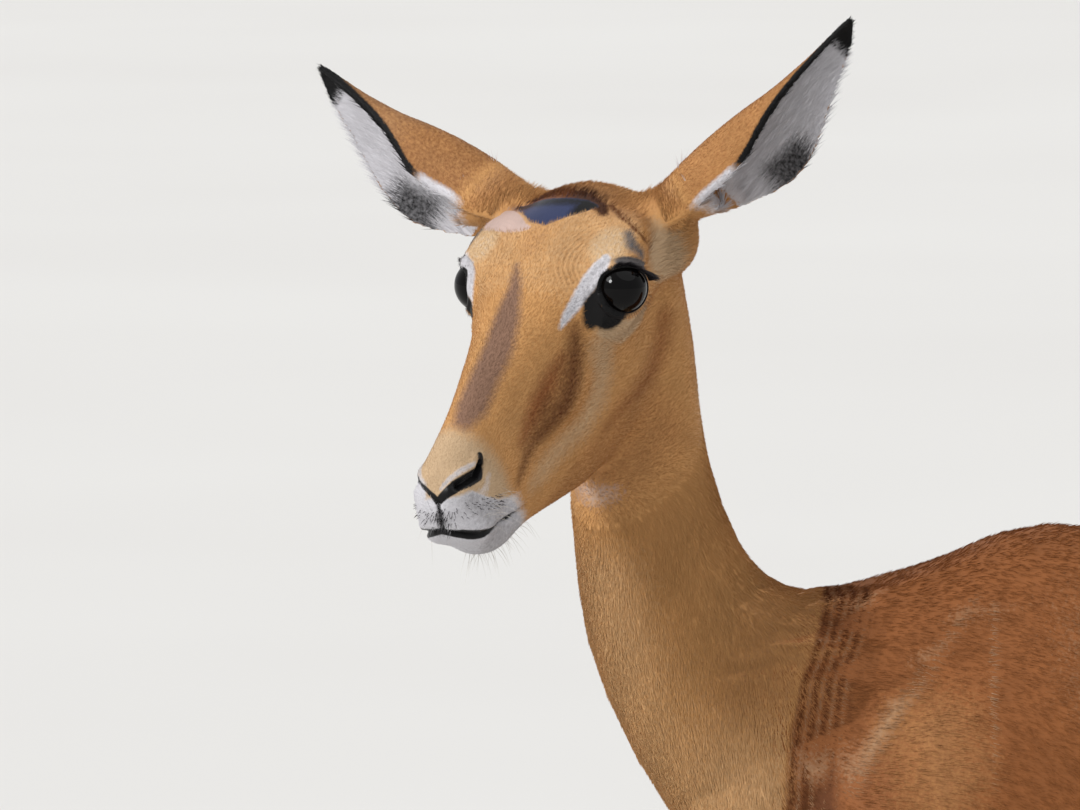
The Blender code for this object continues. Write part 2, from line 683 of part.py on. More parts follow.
for name, sizes, side_sign, stride in LEGS:
    middle, front, back = foot_of(sizes, side_sign, stride)
    rise = CORONET[1] - CORONET[0]
    top = Vector((middle, (front + back) / 2, (CORONET[0] + CORONET[1]) / 2))
    below = facing_frame(top, (0, rise, back - front))
    foot = box(name + "_foot", *FOOT_BOX, below)
    leg = node(name, flesh.data.copy(), "coat")
    cut(leg, "INTERSECT", keep[name])
    cut(leg, "DIFFERENCE", foot)
    for side, outward in (("outer", side_sign), ("inner", -side_sign)):
        made = claw(f"{name.replace('leg', 'hoof')}_{side}", middle, outward, front, back)
        finish_node(made, "horn")

head = node("head", flesh.data.copy(), "coat")
cut(head, "INTERSECT", keep["head"])
for name, sign in (("left", 1), ("right", -1)):
    frame = eye_frame(sign)
    eyeball = ball("eye_" + name, (0, 0, 0), (EYE_RADIUS,) * 3, frame)
    finish_node(eyeball, "eye")
    socket = ball("socket_" + name, (0, 0, 0), (EYE_RADIUS + GAP,) * 3, frame)
    opening = tube("lids_" + name, LID_OPENING, LID_TUBE, frame)
    for cutter in (socket, opening):
        into(cutters, cutter)
        cutter.hide_render = True
        cutter.display_type = "WIRE"
        cut(head, "DIFFERENCE", cutter)

for name, sign, reach, turn, breadth in EARS:
    root, along, across, facing = ear_axes(sign, reach, turn)
    frame = frame_of(across, facing * sign, along.normalized(), root + along * EAR_CUT)
    ear_in = box(name + "_inside", *EAR_BOX, frame)
    ear_out = box(name + "_outside", *EAR_BOX, frame, grow=GAP)
    cut(head, "DIFFERENCE", ear_out)
    plug = ball("plug", *EAR_PLUG, frame)
    ear = joined(name, [ear_clay(name, sign, reach, turn, breadth), plug])
    modify(ear, "REMESH", mode="VOXEL", voxel_size=EAR_VOXEL)
    modify(ear, "SMOOTH", factor=0.5, iterations=3)
    modify(ear, "DECIMATE", ratio=EAR_RATIO)
    settle(ear)
    cut(ear, "INTERSECT", ear_in)
    finish_node(ear, "ear")
bpy.data.objects.remove(flesh)

# The floor point under the middle of the whole animal becomes the origin.
bpy.context.view_layer.update()
corners = [made.matrix_world @ Vector(c) for made in parts.objects for c in made.bound_box]
stand = bpy.data.objects.new("stand_point", None)
parts.objects.link(stand)
stand.location = (
    -(min(c.x for c in corners) + max(c.x for c in corners)) / 2,
    -(min(c.y for c in corners) + max(c.y for c in corners)) / 2,
    0,
)
for made in (*parts.objects, *cutters.objects):
    if made is not stand:
        made.parent = stand
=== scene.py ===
"""A standing impala ewe at life size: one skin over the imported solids, its coat, eyes, lashes and hooves."""

import json
import math

import bmesh
import bpy
import numpy as np
from mathutils import Matrix, Vector, bvhtree

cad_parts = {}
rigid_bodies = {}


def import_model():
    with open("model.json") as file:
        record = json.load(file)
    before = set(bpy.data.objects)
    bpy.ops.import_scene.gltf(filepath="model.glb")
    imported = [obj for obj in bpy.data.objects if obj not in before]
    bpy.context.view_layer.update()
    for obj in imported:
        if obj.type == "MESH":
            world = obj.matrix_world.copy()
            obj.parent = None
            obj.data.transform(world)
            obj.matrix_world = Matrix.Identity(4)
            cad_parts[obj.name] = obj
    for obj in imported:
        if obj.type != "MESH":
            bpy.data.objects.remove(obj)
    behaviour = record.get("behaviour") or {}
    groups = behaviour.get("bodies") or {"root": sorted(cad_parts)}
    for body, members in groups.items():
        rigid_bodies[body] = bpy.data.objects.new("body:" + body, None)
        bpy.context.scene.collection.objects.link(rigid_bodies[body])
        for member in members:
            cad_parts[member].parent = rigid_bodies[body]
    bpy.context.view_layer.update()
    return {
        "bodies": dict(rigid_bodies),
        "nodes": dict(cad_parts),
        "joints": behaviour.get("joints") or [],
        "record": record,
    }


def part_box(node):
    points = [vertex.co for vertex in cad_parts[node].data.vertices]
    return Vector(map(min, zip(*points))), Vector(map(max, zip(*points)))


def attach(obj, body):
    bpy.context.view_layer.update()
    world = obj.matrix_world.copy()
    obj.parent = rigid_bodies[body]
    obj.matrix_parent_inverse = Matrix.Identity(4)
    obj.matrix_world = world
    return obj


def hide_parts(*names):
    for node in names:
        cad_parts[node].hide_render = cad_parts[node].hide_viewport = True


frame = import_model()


# ---------------------------------------------------------------- driving dimensions
HEAD_CENTRE = Vector((0.075, -0.500, 0.992))  # midway between the eyeballs
HEAD_YAW = math.radians(50.0)  # turned to its left, from straight ahead
HEAD_PITCH = math.radians(42.0)  # the nose bridge below the horizon
HEAD_ROLL = math.radians(2.5)  # left side up
EYE_PLACE = (-0.0103, 0.0485, -0.0068)  # forward, left, up in the head's own frame
EYE_RADIUS = 0.0160
EYE_AXIS = (0.49, 0.735, 0.465)  # forward, left, up: where the left eye looks
LID_OPENING = (0.0152, 0.0146)  # half the slit of the lids along it and across it
LID_SLANT = math.radians(36.0)  # from the nose bridge's line up to the line of the slit
EAR_ROOT = (-0.073, 0.055, -0.010)  # forward, left, up: the middle of an ear's base, inside the head
RING = 40  # points round one cross-section


# ---------------------------------------------------------------- cross-sections and lofts
def smooth_rows(rows, count):
    """Rows of sizes, blended by a smooth curve through every row: the first column is the station."""
    table = np.array(rows, float)
    at, slopes = table[:, 0], np.gradient(table, table[:, 0], axis=0)
    want = np.linspace(at[0], at[-1], count)
    order = np.sign(at[-1] - at[0])
    i = np.clip(np.searchsorted(at * order, want * order, side="right") - 1, 0, len(at) - 2)
    step = (at[i + 1] - at[i])[:, None]
    t = ((want - at[i]) / (at[i + 1] - at[i]))[:, None]
    a, b = 2 * t**3 - 3 * t**2 + 1, t**3 - 2 * t**2 + t
    c, d = 3 * t**2 - 2 * t**3, t**3 - t**2
    return a * table[i] + b * step * slopes[i] + c * table[i + 1] + d * step * slopes[i + 1]


def oval(half_width, top, bottom, taper=0.0, power=2.0):
    """One cross-section as side and up values: a superellipse, wider above by taper."""
    angle = np.linspace(0, 2 * math.pi, RING, endpoint=False)
    side, up = np.cos(angle), np.sin(angle)
    side = np.sign(side) * np.abs(side) ** (2 / power)
    up = np.sign(up) * np.abs(up) ** (2 / power)
    return half_width * side * (1 + taper * up), (top + bottom) / 2 + (top - bottom) / 2 * up


def new_object(name, work):
    """An object from a finished bmesh, with its faces pointing out."""
    bmesh.ops.recalc_face_normals(work, faces=work.faces)
    mesh = bpy.data.meshes.new(name)
    work.to_mesh(mesh)
    work.free()
    made = bpy.data.objects.new(name, mesh)
    bpy.context.scene.collection.objects.link(made)
    return made


def loft(name, rings):
    """A closed body through rings of points, with a fan at each end."""
    work = bmesh.new()
    rows = [[work.verts.new(Vector(point)) for point in ring] for ring in rings]
    count = len(rows[0])
    for here, there in zip(rows, rows[1:]):
        for k in range(count):
            n = (k + 1) % count
            work.faces.new((here[k], here[n], there[n], there[k]))
    for ring in (rows[0], rows[-1]):
        middle = work.verts.new(sum((v.co for v in ring), Vector()) / count)
        for k in range(count):
            work.faces.new((ring[k], ring[(k + 1) % count], middle))
    return new_object(name, work)


def ball(name, centre, radii, frame):
    """An ellipsoid of clay, placed by a frame."""
    work = bmesh.new()
    bmesh.ops.create_uvsphere(work, u_segments=20, v_segments=10, radius=1.0)
    bmesh.ops.scale(work, vec=radii, verts=work.verts)
    bmesh.ops.translate(work, vec=centre, verts=work.verts)
    bmesh.ops.transform(work, matrix=frame, verts=work.verts)
    return new_object(name, work)


# ---------------------------------------------------------------- frames of the head
def frame_of(x_axis, y_axis, z_axis, origin):
    frame = Matrix((x_axis, y_axis, z_axis)).transposed().to_4x4()
    frame.translation = origin
    return frame


def level_frame():
    """Ahead, left and up of the turned head, without its nod or tilt."""
    ahead = Vector((math.sin(HEAD_YAW), -math.cos(HEAD_YAW), 0))
    left = Vector((math.cos(HEAD_YAW), math.sin(HEAD_YAW), 0))
    return frame_of(ahead, left, Vector((0, 0, 1)), HEAD_CENTRE)


def head_frame():
    """Forward along the nose bridge, left, and up out of the forehead."""
    nod = Matrix.Rotation(HEAD_PITCH, 4, "Y")
    tilt = Matrix.Rotation(HEAD_ROLL, 4, "X")
    return level_frame() @ nod @ tilt


# ---------------------------------------------------------------- trunk and tail
# y, top, bottom, half width, taper, power
TRUNK = (
    (0.392, 0.770, 0.665, 0.040, 0.00, 2.0),
    (0.375, 0.805, 0.610, 0.068, 0.00, 2.0),
    (0.330, 0.836, 0.570, 0.092, 0.05, 2.1),
    (0.250, 0.848, 0.550, 0.100, 0.05, 2.2),
    (0.140, 0.836, 0.538, 0.100, 0.00, 2.2),
    (0.020, 0.822, 0.512, 0.112, -0.08, 2.1),
    (-0.090, 0.826, 0.494, 0.112, -0.14, 2.1),
    (-0.180, 0.840, 0.496, 0.098, -0.22, 2.1),
    (-0.260, 0.810, 0.512, 0.086, -0.12, 2.1),
    (-0.320, 0.775, 0.545, 0.074, 0.00, 2.0),
    (-0.370, 0.735, 0.590, 0.056, 0.00, 2.0),
    (-0.400, 0.700, 0.635, 0.030, 0.00, 2.0),
)
# station, y, z, half width, half depth
TAIL = (
    (0.0, 0.350, 0.795, 0.0140, 0.0140),
    (1.0, 0.395, 0.795, 0.0150, 0.0120),
    (2.0, 0.422, 0.765, 0.0170, 0.0110),
    (3.0, 0.428, 0.720, 0.0210, 0.0120),
    (4.0, 0.430, 0.670, 0.0230, 0.0130),
    (5.0, 0.430, 0.620, 0.0230, 0.0130),
    (6.0, 0.430, 0.570, 0.0180, 0.0110),
    (7.0, 0.430, 0.530, 0.0090, 0.0070),
    (7.5, 0.430, 0.512, 0.0025, 0.0025),
)


def trunk_clay():
    rings = []
    for y, top, bottom, half_width, taper, power in smooth_rows(TRUNK, 60):
        side, up = oval(half_width, top, bottom, taper, power)
        rings.append([(s, y, u) for s, u in zip(side, up)])
    return loft("trunk_clay", rings)


def tail_clay():
    rows = smooth_rows(TAIL, 50)
    course = np.gradient(rows[:, 1:3], axis=0)
    rings = []
    for (_, y, z, half_width, half_depth), (dy, dz) in zip(rows, course):
        out = Vector((0, -dz, dy)).normalized()
        side, up = oval(half_width, half_depth, -half_depth)
        rings.append([Vector((s, y, z)) + out * u for s, u in zip(side, up)])
    return loft("tail_clay", rings)


# ---------------------------------------------------------------- neck
# station, front y, front z, back y, back z, middle x, half width
NECK = (
    (0.0, -0.300, 0.545, -0.150, 0.800, 0.000, 0.076),
    (0.8, -0.365, 0.610, -0.215, 0.826, 0.000, 0.067),
    (1.4, -0.403, 0.658, -0.262, 0.813, 0.000, 0.060),
    (2.0, -0.427, 0.694, -0.300, 0.802, 0.000, 0.053),
    (2.6, -0.446, 0.732, -0.333, 0.804, 0.000, 0.047),
    (3.2, -0.459, 0.770, -0.356, 0.822, 0.000, 0.043),
    (3.9, -0.466, 0.810, -0.372, 0.853, 0.001, 0.040),
    (4.6, -0.470, 0.855, -0.383, 0.888, 0.003, 0.038),
    (5.3, -0.472, 0.900, -0.389, 0.922, 0.006, 0.037),
    (6.0, -0.474, 0.945, -0.394, 0.957, 0.010, 0.037),
    (6.6, -0.476, 0.985, -0.401, 0.993, 0.014, 0.036),
    (7.2, -0.470, 1.012, -0.408, 1.022, 0.018, 0.032),
    (7.6, -0.462, 1.026, -0.415, 1.036, 0.021, 0.024),
)


def neck_clay():
    rings = []
    for _, front_y, front_z, back_y, back_z, x, half_width in smooth_rows(NECK, 60):
        front, back = Vector((x, front_y, front_z)), Vector((x, back_y, back_z))
        middle, reach = (front + back) / 2, (back - front) / 2
        side, up = oval(half_width, 1, -1)
        rings.append([Vector((s, 0, 0)) + middle + reach * u for s, u in zip(side, up)])
    return loft("neck_clay", rings)


# ---------------------------------------------------------------- legs
# height, front y, back y, middle x, half width, power
FORELEG = (
    (0.790, -0.215, -0.125, 0.040, 0.022, 2.0),
    (0.720, -0.290, -0.120, 0.068, 0.028, 2.0),
    (0.650, -0.335, -0.130, 0.083, 0.031, 2.0),
    (0.590, -0.315, -0.140, 0.085, 0.032, 2.0),
    (0.530, -0.290, -0.150, 0.084, 0.031, 2.0),
    (0.485, -0.278, -0.172, 0.082, 0.027, 2.0),
    (0.420, -0.266, -0.192, 0.079, 0.0215, 2.0),
    (0.350, -0.256, -0.204, 0.076, 0.0170, 2.0),
    (0.305, -0.253, -0.211, 0.074, 0.0160, 2.0),
    (0.276, -0.257, -0.210, 0.073, 0.0185, 2.3),
    (0.248, -0.252, -0.212, 0.073, 0.0165, 2.3),
    (0.215, -0.245, -0.214, 0.073, 0.0125, 2.0),
    (0.150, -0.243, -0.215, 0.072, 0.0115, 2.0),
    (0.105, -0.243, -0.214, 0.072, 0.0122, 2.0),
    (0.080, -0.248, -0.208, 0.072, 0.0165, 2.2),
    (0.058, -0.258, -0.218, 0.072, 0.0150, 2.2),
    (0.040, -0.268, -0.224, 0.072, 0.0175, 2.3),
    (0.008, -0.278, -0.222, 0.072, 0.0175, 2.3),
)
HIND_LEG = (
    (0.800, 0.240, 0.345, 0.055, 0.028, 2.0),
    (0.730, 0.185, 0.388, 0.068, 0.040, 2.0),
    (0.660, 0.155, 0.402, 0.075, 0.045, 2.0),
    (0.600, 0.138, 0.392, 0.077, 0.043, 2.0),
    (0.545, 0.142, 0.366, 0.078, 0.039, 2.0),
    (0.490, 0.172, 0.348, 0.078, 0.033, 2.0),
    (0.430, 0.212, 0.340, 0.077, 0.0265, 2.0),
    (0.375, 0.252, 0.343, 0.076, 0.0215, 2.0),
    (0.340, 0.278, 0.355, 0.075, 0.0185, 2.0),
    (0.312, 0.296, 0.372, 0.075, 0.0175, 2.1),
    (0.285, 0.310, 0.372, 0.075, 0.0185, 2.3),
    (0.255, 0.318, 0.362, 0.075, 0.0170, 2.3),
    (0.215, 0.320, 0.354, 0.074, 0.0135, 2.0),
    (0.150, 0.320, 0.351, 0.074, 0.0125, 2.0),
    (0.108, 0.319, 0.352, 0.074, 0.0130, 2.0),
    (0.082, 0.314, 0.357, 0.074, 0.0170, 2.2),
    (0.060, 0.304, 0.346, 0.074, 0.0155, 2.2),
    (0.040, 0.294, 0.340, 0.074, 0.0175, 2.3),
    (0.008, 0.284, 0.342, 0.074, 0.0175, 2.3),
)
LEGS = (  # name, sizes, side, how far back it stands
    ("foreleg_left", FORELEG, 1, 0.000),
    ("foreleg_right", FORELEG, -1, 0.030),
    ("hind_leg_left", HIND_LEG, 1, 0.030),
    ("hind_leg_right", HIND_LEG, -1, -0.030),
)
LEG_ROOT = 0.56  # above this height a leg's place on the trunk is fixed
CORONET = (0.018, 0.036)  # height of the hoof's top edge at heel and toe


def leg_clay(name, sizes, side_sign, stride):
    rings = []
    for z, front, back, x, half_width, power in smooth_rows(sizes, 110):
        step = stride * min(1.0, max(0.0, (LEG_ROOT - z) / LEG_ROOT))
        side, along = oval(half_width, -front, -back, 0, power)
        rings.append([(side_sign * x + s, step - a, z) for s, a in zip(side, along)])
    return loft(name + "_clay", rings)


# ---------------------------------------------------------------- head
# forward, top, bottom, half width, taper, power
SKULL = (
    (0.1765, -0.006, -0.028, 0.0110, 0.00, 2.0),
    (0.1720, 0.001, -0.036, 0.0170, 0.00, 2.0),
    (0.1600, 0.0090, -0.043, 0.0203, 0.00, 2.1),
    (0.1450, 0.0140, -0.047, 0.0208, 0.00, 2.1),
    (0.1250, 0.0170, -0.052, 0.0208, 0.00, 2.1),
    (0.1065, 0.0190, -0.058, 0.0215, 0.00, 2.1),
    (0.0800, 0.0215, -0.062, 0.0245, 0.05, 2.1),
    (0.0500, 0.0230, -0.064, 0.0305, 0.08, 2.1),
    (0.0200, 0.0235, -0.066, 0.0395, 0.12, 2.2),
    (0.0000, 0.0235, -0.068, 0.0450, 0.15, 2.3),
    (-0.0200, 0.0235, -0.068, 0.0490, 0.16, 2.3),
    (-0.0400, 0.0235, -0.066, 0.0500, 0.14, 2.2),
    (-0.0560, 0.0215, -0.064, 0.0470, 0.06, 2.1),
    (-0.0720, 0.0160, -0.060, 0.0420, 0.00, 2.0),
    (-0.0900, 0.0020, -0.050, 0.0330, 0.00, 2.0),
    (-0.1020, -0.0180, -0.045, 0.0200, 0.00, 2.0),
)
JAW = (
    (0.1670, -0.034, -0.0505, 0.0080, 0.0, 2.0),
    (0.1590, -0.030, -0.0605, 0.0130, 0.0, 2.0),
    (0.1450, -0.030, -0.0700, 0.0155, 0.0, 2.1),
    (0.1230, -0.030, -0.0770, 0.0170, 0.0, 2.2),
    (0.1050, -0.030, -0.0862, 0.0180, 0.0, 2.2),
    (0.0825, -0.030, -0.0985, 0.0200, 0.0, 2.2),
    (0.0530, -0.030, -0.1130, 0.0235, 0.0, 2.2),
    (0.0300, -0.030, -0.1190, 0.0265, 0.0, 2.2),
    (0.0020, -0.025, -0.1190, 0.0300, 0.0, 2.2),
    (-0.0250, -0.025, -0.1110, 0.0320, 0.0, 2.2),
    (-0.0500, -0.025, -0.0940, 0.0310, 0.0, 2.0),
    (-0.0720, -0.025, -0.0720, 0.0260, 0.0, 2.0),
    (-0.0850, -0.025, -0.0550, 0.0200, 0.0, 2.0),
)
# name, centre (forward, left, up), radii; each is made on both sides
HEAD_MASSES = (
    ("cheek", (-0.014, 0.0180, -0.070), (0.058, 0.0200, 0.046)),
    ("orbit", (-0.012, 0.0400, -0.012), (0.0300, 0.0190, 0.0260)),
    ("lids", EYE_PLACE, (0.0182, 0.0180, 0.0182)),
    ("brow", (-0.030, 0.0430, 0.003), (0.032, 0.0200, 0.0160)),
    ("cheek_bone", (0.030, 0.0200, -0.032), (0.056, 0.0155, 0.022)),
    ("temple_arch", (-0.038, 0.0390, -0.028), (0.034, 0.0130, 0.018)),
    ("nostril_wing", (0.1530, 0.0115, 0.000), (0.018, 0.0075, 0.010)),
    ("upper_lip", (0.1530, 0.0125, -0.028), (0.0235, 0.0120, 0.0175)),
    ("ear_root", (-0.072, 0.0460, -0.024), (0.026, 0.0210, 0.031)),
)


def head_clay():
    frame = head_frame()
    made = []
    for name, sizes in (("skull", SKULL), ("jaw", JAW)):
        rings = []
        for forward, top, bottom, half_width, taper, power in smooth_rows(sizes, 50):
            side, up = oval(half_width, top, bottom, taper, power)
            rings.append([frame @ Vector((forward, s, u)) for s, u in zip(side, up)])
        made.append(loft(name, rings))
    for name, (forward, left, up), radii in HEAD_MASSES:
        for sign in (1, -1):
            made.append(ball(name, (forward, sign * left, up), radii, frame))
    return made


def eye_frame(sign):
    """An eyeball's own axes: along the slit to the inner corner, across the slit, and out."""
    frame = head_frame()
    forward, left, up = EYE_AXIS
    out = (frame.to_3x3() @ Vector((forward, sign * left, up))).normalized()
    across = frame.to_3x3() @ Vector((-math.sin(LID_SLANT), 0, math.cos(LID_SLANT)))
    across = (across - out * across.dot(out)).normalized()
    along = out.cross(across) * sign
    forward, left, up = EYE_PLACE
    return frame_of(along, across, out, frame @ Vector((forward, sign * left, up)))


# ---------------------------------------------------------------- ears
# name, side, tip from root (ahead, outward, up in the level frame), turn of the opening, breadth
EARS = (
    ("ear_left", 1, (0.012, 0.128, 0.122), math.radians(16), 0.90),
    ("ear_right", -1, (-0.022, 0.150, 0.082), math.radians(-16), 1.08),
)
# station, spine, front edge, back edge across the ear, depth of the cup, thickness
EAR = (
    (0.00, -0.0155, 0.0060, 0.0080, 0.0270, 0.0040),
    (0.10, -0.0155, 0.0105, 0.0215, 0.0325, 0.0038),
    (0.20, -0.0150, 0.0110, 0.0300, 0.0335, 0.0036),
    (0.30, -0.0138, 0.0130, 0.0370, 0.0325, 0.0034),
    (0.40, -0.0118, 0.0130, 0.0410, 0.0300, 0.0032),
    (0.50, -0.0088, 0.0080, 0.0395, 0.0260, 0.0030),
    (0.60, -0.0052, 0.0040, 0.0335, 0.0210, 0.0030),
    (0.70, -0.0030, 0.0020, 0.0260, 0.0160, 0.0028),
    (0.80, -0.0015, 0.0012, 0.0190, 0.0115, 0.0026),
    (0.90, -0.0010, 0.0010, 0.0125, 0.0075, 0.0024),
    (0.97, -0.0008, 0.0008, 0.0060, 0.0035, 0.0022),
    (1.00, -0.0006, 0.0005, 0.0020, 0.0015, 0.0020),
)
EAR_CURL = 1.12  # in quarter turns: past one, so that the edges lean in
EAR_STEPS = 20  # points along one wall of the cup


def ear_axes(sign, reach, turn):
    """Root of one ear, and world vectors along it, across it to its open side, and forward."""
    level = level_frame().to_3x3()
    root = head_frame() @ Vector((EAR_ROOT[0], sign * EAR_ROOT[1], EAR_ROOT[2]))
    along = level @ Vector((reach[0], sign * reach[1], reach[2]))
    facing = level @ Vector((math.cos(turn), sign * math.sin(turn), 0))
    across = along.cross(facing).normalized() * sign
    facing = (across.cross(along) * sign).normalized()
    return root, along, across, facing


def ear_section(spine, front, back, depth, thickness):
    """One slice of the cup: two quarter-oval walls from the spine, given a thickness inward."""
    turns = np.linspace(-1, 1, 2 * EAR_STEPS + 1)
    edge = np.where(turns < 0, front, back)
    bend = np.abs(turns) * EAR_CURL * math.pi / 2
    across = spine + (edge - spine) * (1 - np.cos(np.minimum(bend, math.pi / 2)))
    facing = -np.sign(turns) * depth / 2 * np.sin(bend)
    outer = np.stack([across, facing], axis=1)
    course = np.gradient(outer, axis=0)
    course /= np.linalg.norm(course, axis=1)[:, None]
    inward = np.stack([course[:, 1], -course[:, 0]], axis=1)
    taper = np.minimum(1.0, 1.25 * (1.02 - np.abs(turns)) ** 0.12)[:, None]
    return np.concatenate([outer, (outer + inward * thickness * taper)[::-1]])


def ear_clay(name, sign, reach, turn, breadth):
    root, along, across, facing = ear_axes(sign, reach, turn)
    rings = []
    for station, *sizes in smooth_rows(EAR, 60):
        middle = root + along * station
        rings.append([middle + across * x * breadth + facing * y for x, y in ear_section(*sizes)])
    return loft(name + "_clay", rings)


# ---------------------------------------------------------------- fineness of the skin
CLAY_VOXEL = 0.0034  # the blended form of the flesh
SKIN_VOXEL = 0.0015
SOFT_ROUNDS = 34
FINE_ROUNDS = 8
SKIN_RATIO = 0.130  # of the fine faces that are kept, most of them on the head
COAT_DEPTH = {"body": 0.0022, "head": 0.0010, "muzzle": 0.0006, "leg": 0.0014, "ear": 0.0006}
EAR_CUT = 0.13  # along the ear, where the closed stump ends


# ---------------------------------------------------------------- small tools on arrays
def ramp(value, low, high):
    """0 below low, 1 above high, and smooth between."""
    t = np.clip((np.asarray(value, float) - low) / (high - low), 0, 1)
    return t * t * (3 - 2 * t)


def row_unit(rows):
    """Each row at length 1."""
    return rows / np.maximum(np.linalg.norm(rows, axis=-1, keepdims=True), 1e-12)


def mesh_array(collection, key, width, kind=np.float32):
    found = np.empty(len(collection) * width, kind)
    collection.foreach_get(key, found)
    return found.reshape(-1, width) if width > 1 else found


def places_of(made):
    return mesh_array(made.data.vertices, "co", 3).astype(float)


def normals_of(made):
    return mesh_array(made.data.vertex_normals, "vector", 3).astype(float)


def put_places(made, places):
    made.data.vertices.foreach_set("co", places.astype(np.float32).ravel())
    made.data.update()


def relax(made, weight, rounds):
    """Each point moves half way to the middle of its neighbours, as far as its weight says."""
    places = places_of(made)
    ends = mesh_array(made.data.edges, "vertices", 2, np.int32)
    count = len(places)
    share = 0.5 * weight[:, None] / np.bincount(ends.ravel(), minlength=count)[:, None]
    degree = np.bincount(ends.ravel(), minlength=count)[:, None]
    for _ in range(rounds):
        total = np.stack([
            np.bincount(ends[:, 0], weights=places[ends[:, 1], axis], minlength=count)
            + np.bincount(ends[:, 1], weights=places[ends[:, 0], axis], minlength=count)
            for axis in range(3)
        ], axis=1)
        places += share * (total - degree * places)
    put_places(made, places)


def joined(name, pieces):
    """One object of several pieces of clay, which may overlap."""
    work = bmesh.new()
    for piece in pieces:
        work.from_mesh(piece.data)
        bpy.data.objects.remove(piece)
    return new_object(name, work)


def settle(made, kind, **settings):
    """Applies one modifier to an object's mesh."""
    modifier = made.modifiers.new(kind.title(), kind)
    for key, value in settings.items():
        setattr(modifier, key, value)
    graph = bpy.context.evaluated_depsgraph_get()
    mesh = bpy.data.meshes.new_from_object(made.evaluated_get(graph))
    made.modifiers.clear()
    made.data = mesh


def weigh(made, group, weights):
    """A vertex group from an array of weights, in sixteenths."""
    group = made.vertex_groups.new(name=group)
    steps = np.round(np.clip(weights, 0, 1) * 16).astype(int)
    for step in range(1, 17):
        group.add(np.nonzero(steps == step)[0].tolist(), step / 16, "REPLACE")


# ---------------------------------------------------------------- regions
HEAD_AXES = np.array(head_frame().to_3x3())
HEAD_AT = np.array(HEAD_CENTRE)


def in_head(places):
    """Places as forward, left and up of the head."""
    return (places - HEAD_AT) @ HEAD_AXES


def head_share(places):
    """1 in the head, 0 in the rest."""
    spots = in_head(places)
    shortened = np.where(spots[:, :1] > 0, spots * (0.7, 1, 1), spots)
    return np.clip(3.6 - np.linalg.norm(shortened, axis=1) / 0.05, 0, 1)


def muzzle_share(places):
    """1 at the front of the muzzle, 0 behind it."""
    return head_share(places) * np.clip((in_head(places)[:, 0] - 0.09) / 0.05, 0, 1)


def eye_distance(places):
    spots = [np.array(eye_frame(sign).translation) for sign in (1, -1)]
    return np.min([np.linalg.norm(places - spot, axis=1) for spot in spots], axis=0)


def eye_share(places):
    return np.clip((0.034 - eye_distance(places)) / 0.012, 0, 1)


def ear_side_share(places):
    return head_share(places) * np.clip((np.abs(in_head(places)[:, 1]) - 0.060) / 0.02, 0, 1)


def leg_share(places):
    return ramp(-places[:, 2], -0.56, -0.42)


def tail_share(places):
    return ramp(places[:, 1], 0.398, 0.410)


def softness(places):
    """How far smoothing may blend one form into the next: less on the face and the limbs."""
    legs = np.clip((0.50 - places[:, 2]) / 0.15, 0, 1)
    tail = np.where(places[:, 1] > 0.405, 0.9, 0.0)
    face = np.maximum(0.88 * muzzle_share(places), 0.9 * eye_share(places))
    head = np.maximum(0.45 * head_share(places), 0.9 * ear_side_share(places))
    return 1 - np.max([face, head, 0.85 * legs, tail], axis=0)


def ear_place(places, ear):
    """Station along one ear, and metres across it, to its open side and out of its root."""
    _, sign, reach, turn, breadth = ear
    root, along, across, facing = ear_axes(sign, reach, turn)
    offset = places - np.array(root)
    station = offset @ np.array(along) / along.length**2
    return station, offset @ np.array(across) / breadth, offset @ np.array(facing)


def ear_share(places):
    """1 on the free part of either ear, from its stump outward."""
    share = np.zeros(len(places))
    for ear in EARS:
        station, across, facing = ear_place(places, ear)
        near = (np.abs(across - 0.010) < 0.05) & (np.abs(facing) < 0.05) & (station < 1.2)
        share = np.maximum(share, ramp(station, 0.08, 0.20) * near)
    return share


# ---------------------------------------------------------------- the skin in one piece
def ear_stump(name, sign, reach, turn, breadth):
    """The closed root on which an ear sits, out to its cut."""
    root, along, across, facing = ear_axes(sign, reach, turn)
    rings = []
    for station in np.linspace(-0.05, EAR_CUT + 0.05, 8):
        _, spine, _, back, depth, _ = smooth_rows(EAR, 101)[int(100 * max(0.0, station))]
        centre = root + along * station + across * breadth * (spine + back) / 2
        reach_across, reach_facing = breadth * (back - spine) / 2, depth / 2
        rings.append([
            centre + across * (reach_across * math.cos(a)) + facing * (reach_facing * math.sin(a))
            for a in np.linspace(0, 2 * math.pi, 24, endpoint=False)
        ])
    return loft(name + "_stump", rings)


def coat_depth(places):
    """How deep the skin lies under the tips of the coat."""
    depth = np.full(len(places), COAT_DEPTH["body"])
    for name, share in (
        ("leg", leg_share(places)),
        ("head", head_share(places)),
        ("muzzle", muzzle_share(places)),
        ("ear", ear_share(places)),
    ):
        depth += share * (COAT_DEPTH[name] - depth)
    return depth


def fineness(places):
    """0 where every face is kept, 1 where faces may be thinned freely."""
    keep = np.max([
        0.80 * head_share(places), 0.9 * ear_share(places), 0.35 * leg_share(places)
    ], axis=0)
    return 1 - np.maximum(keep, np.maximum(eye_share(places), muzzle_share(places)))


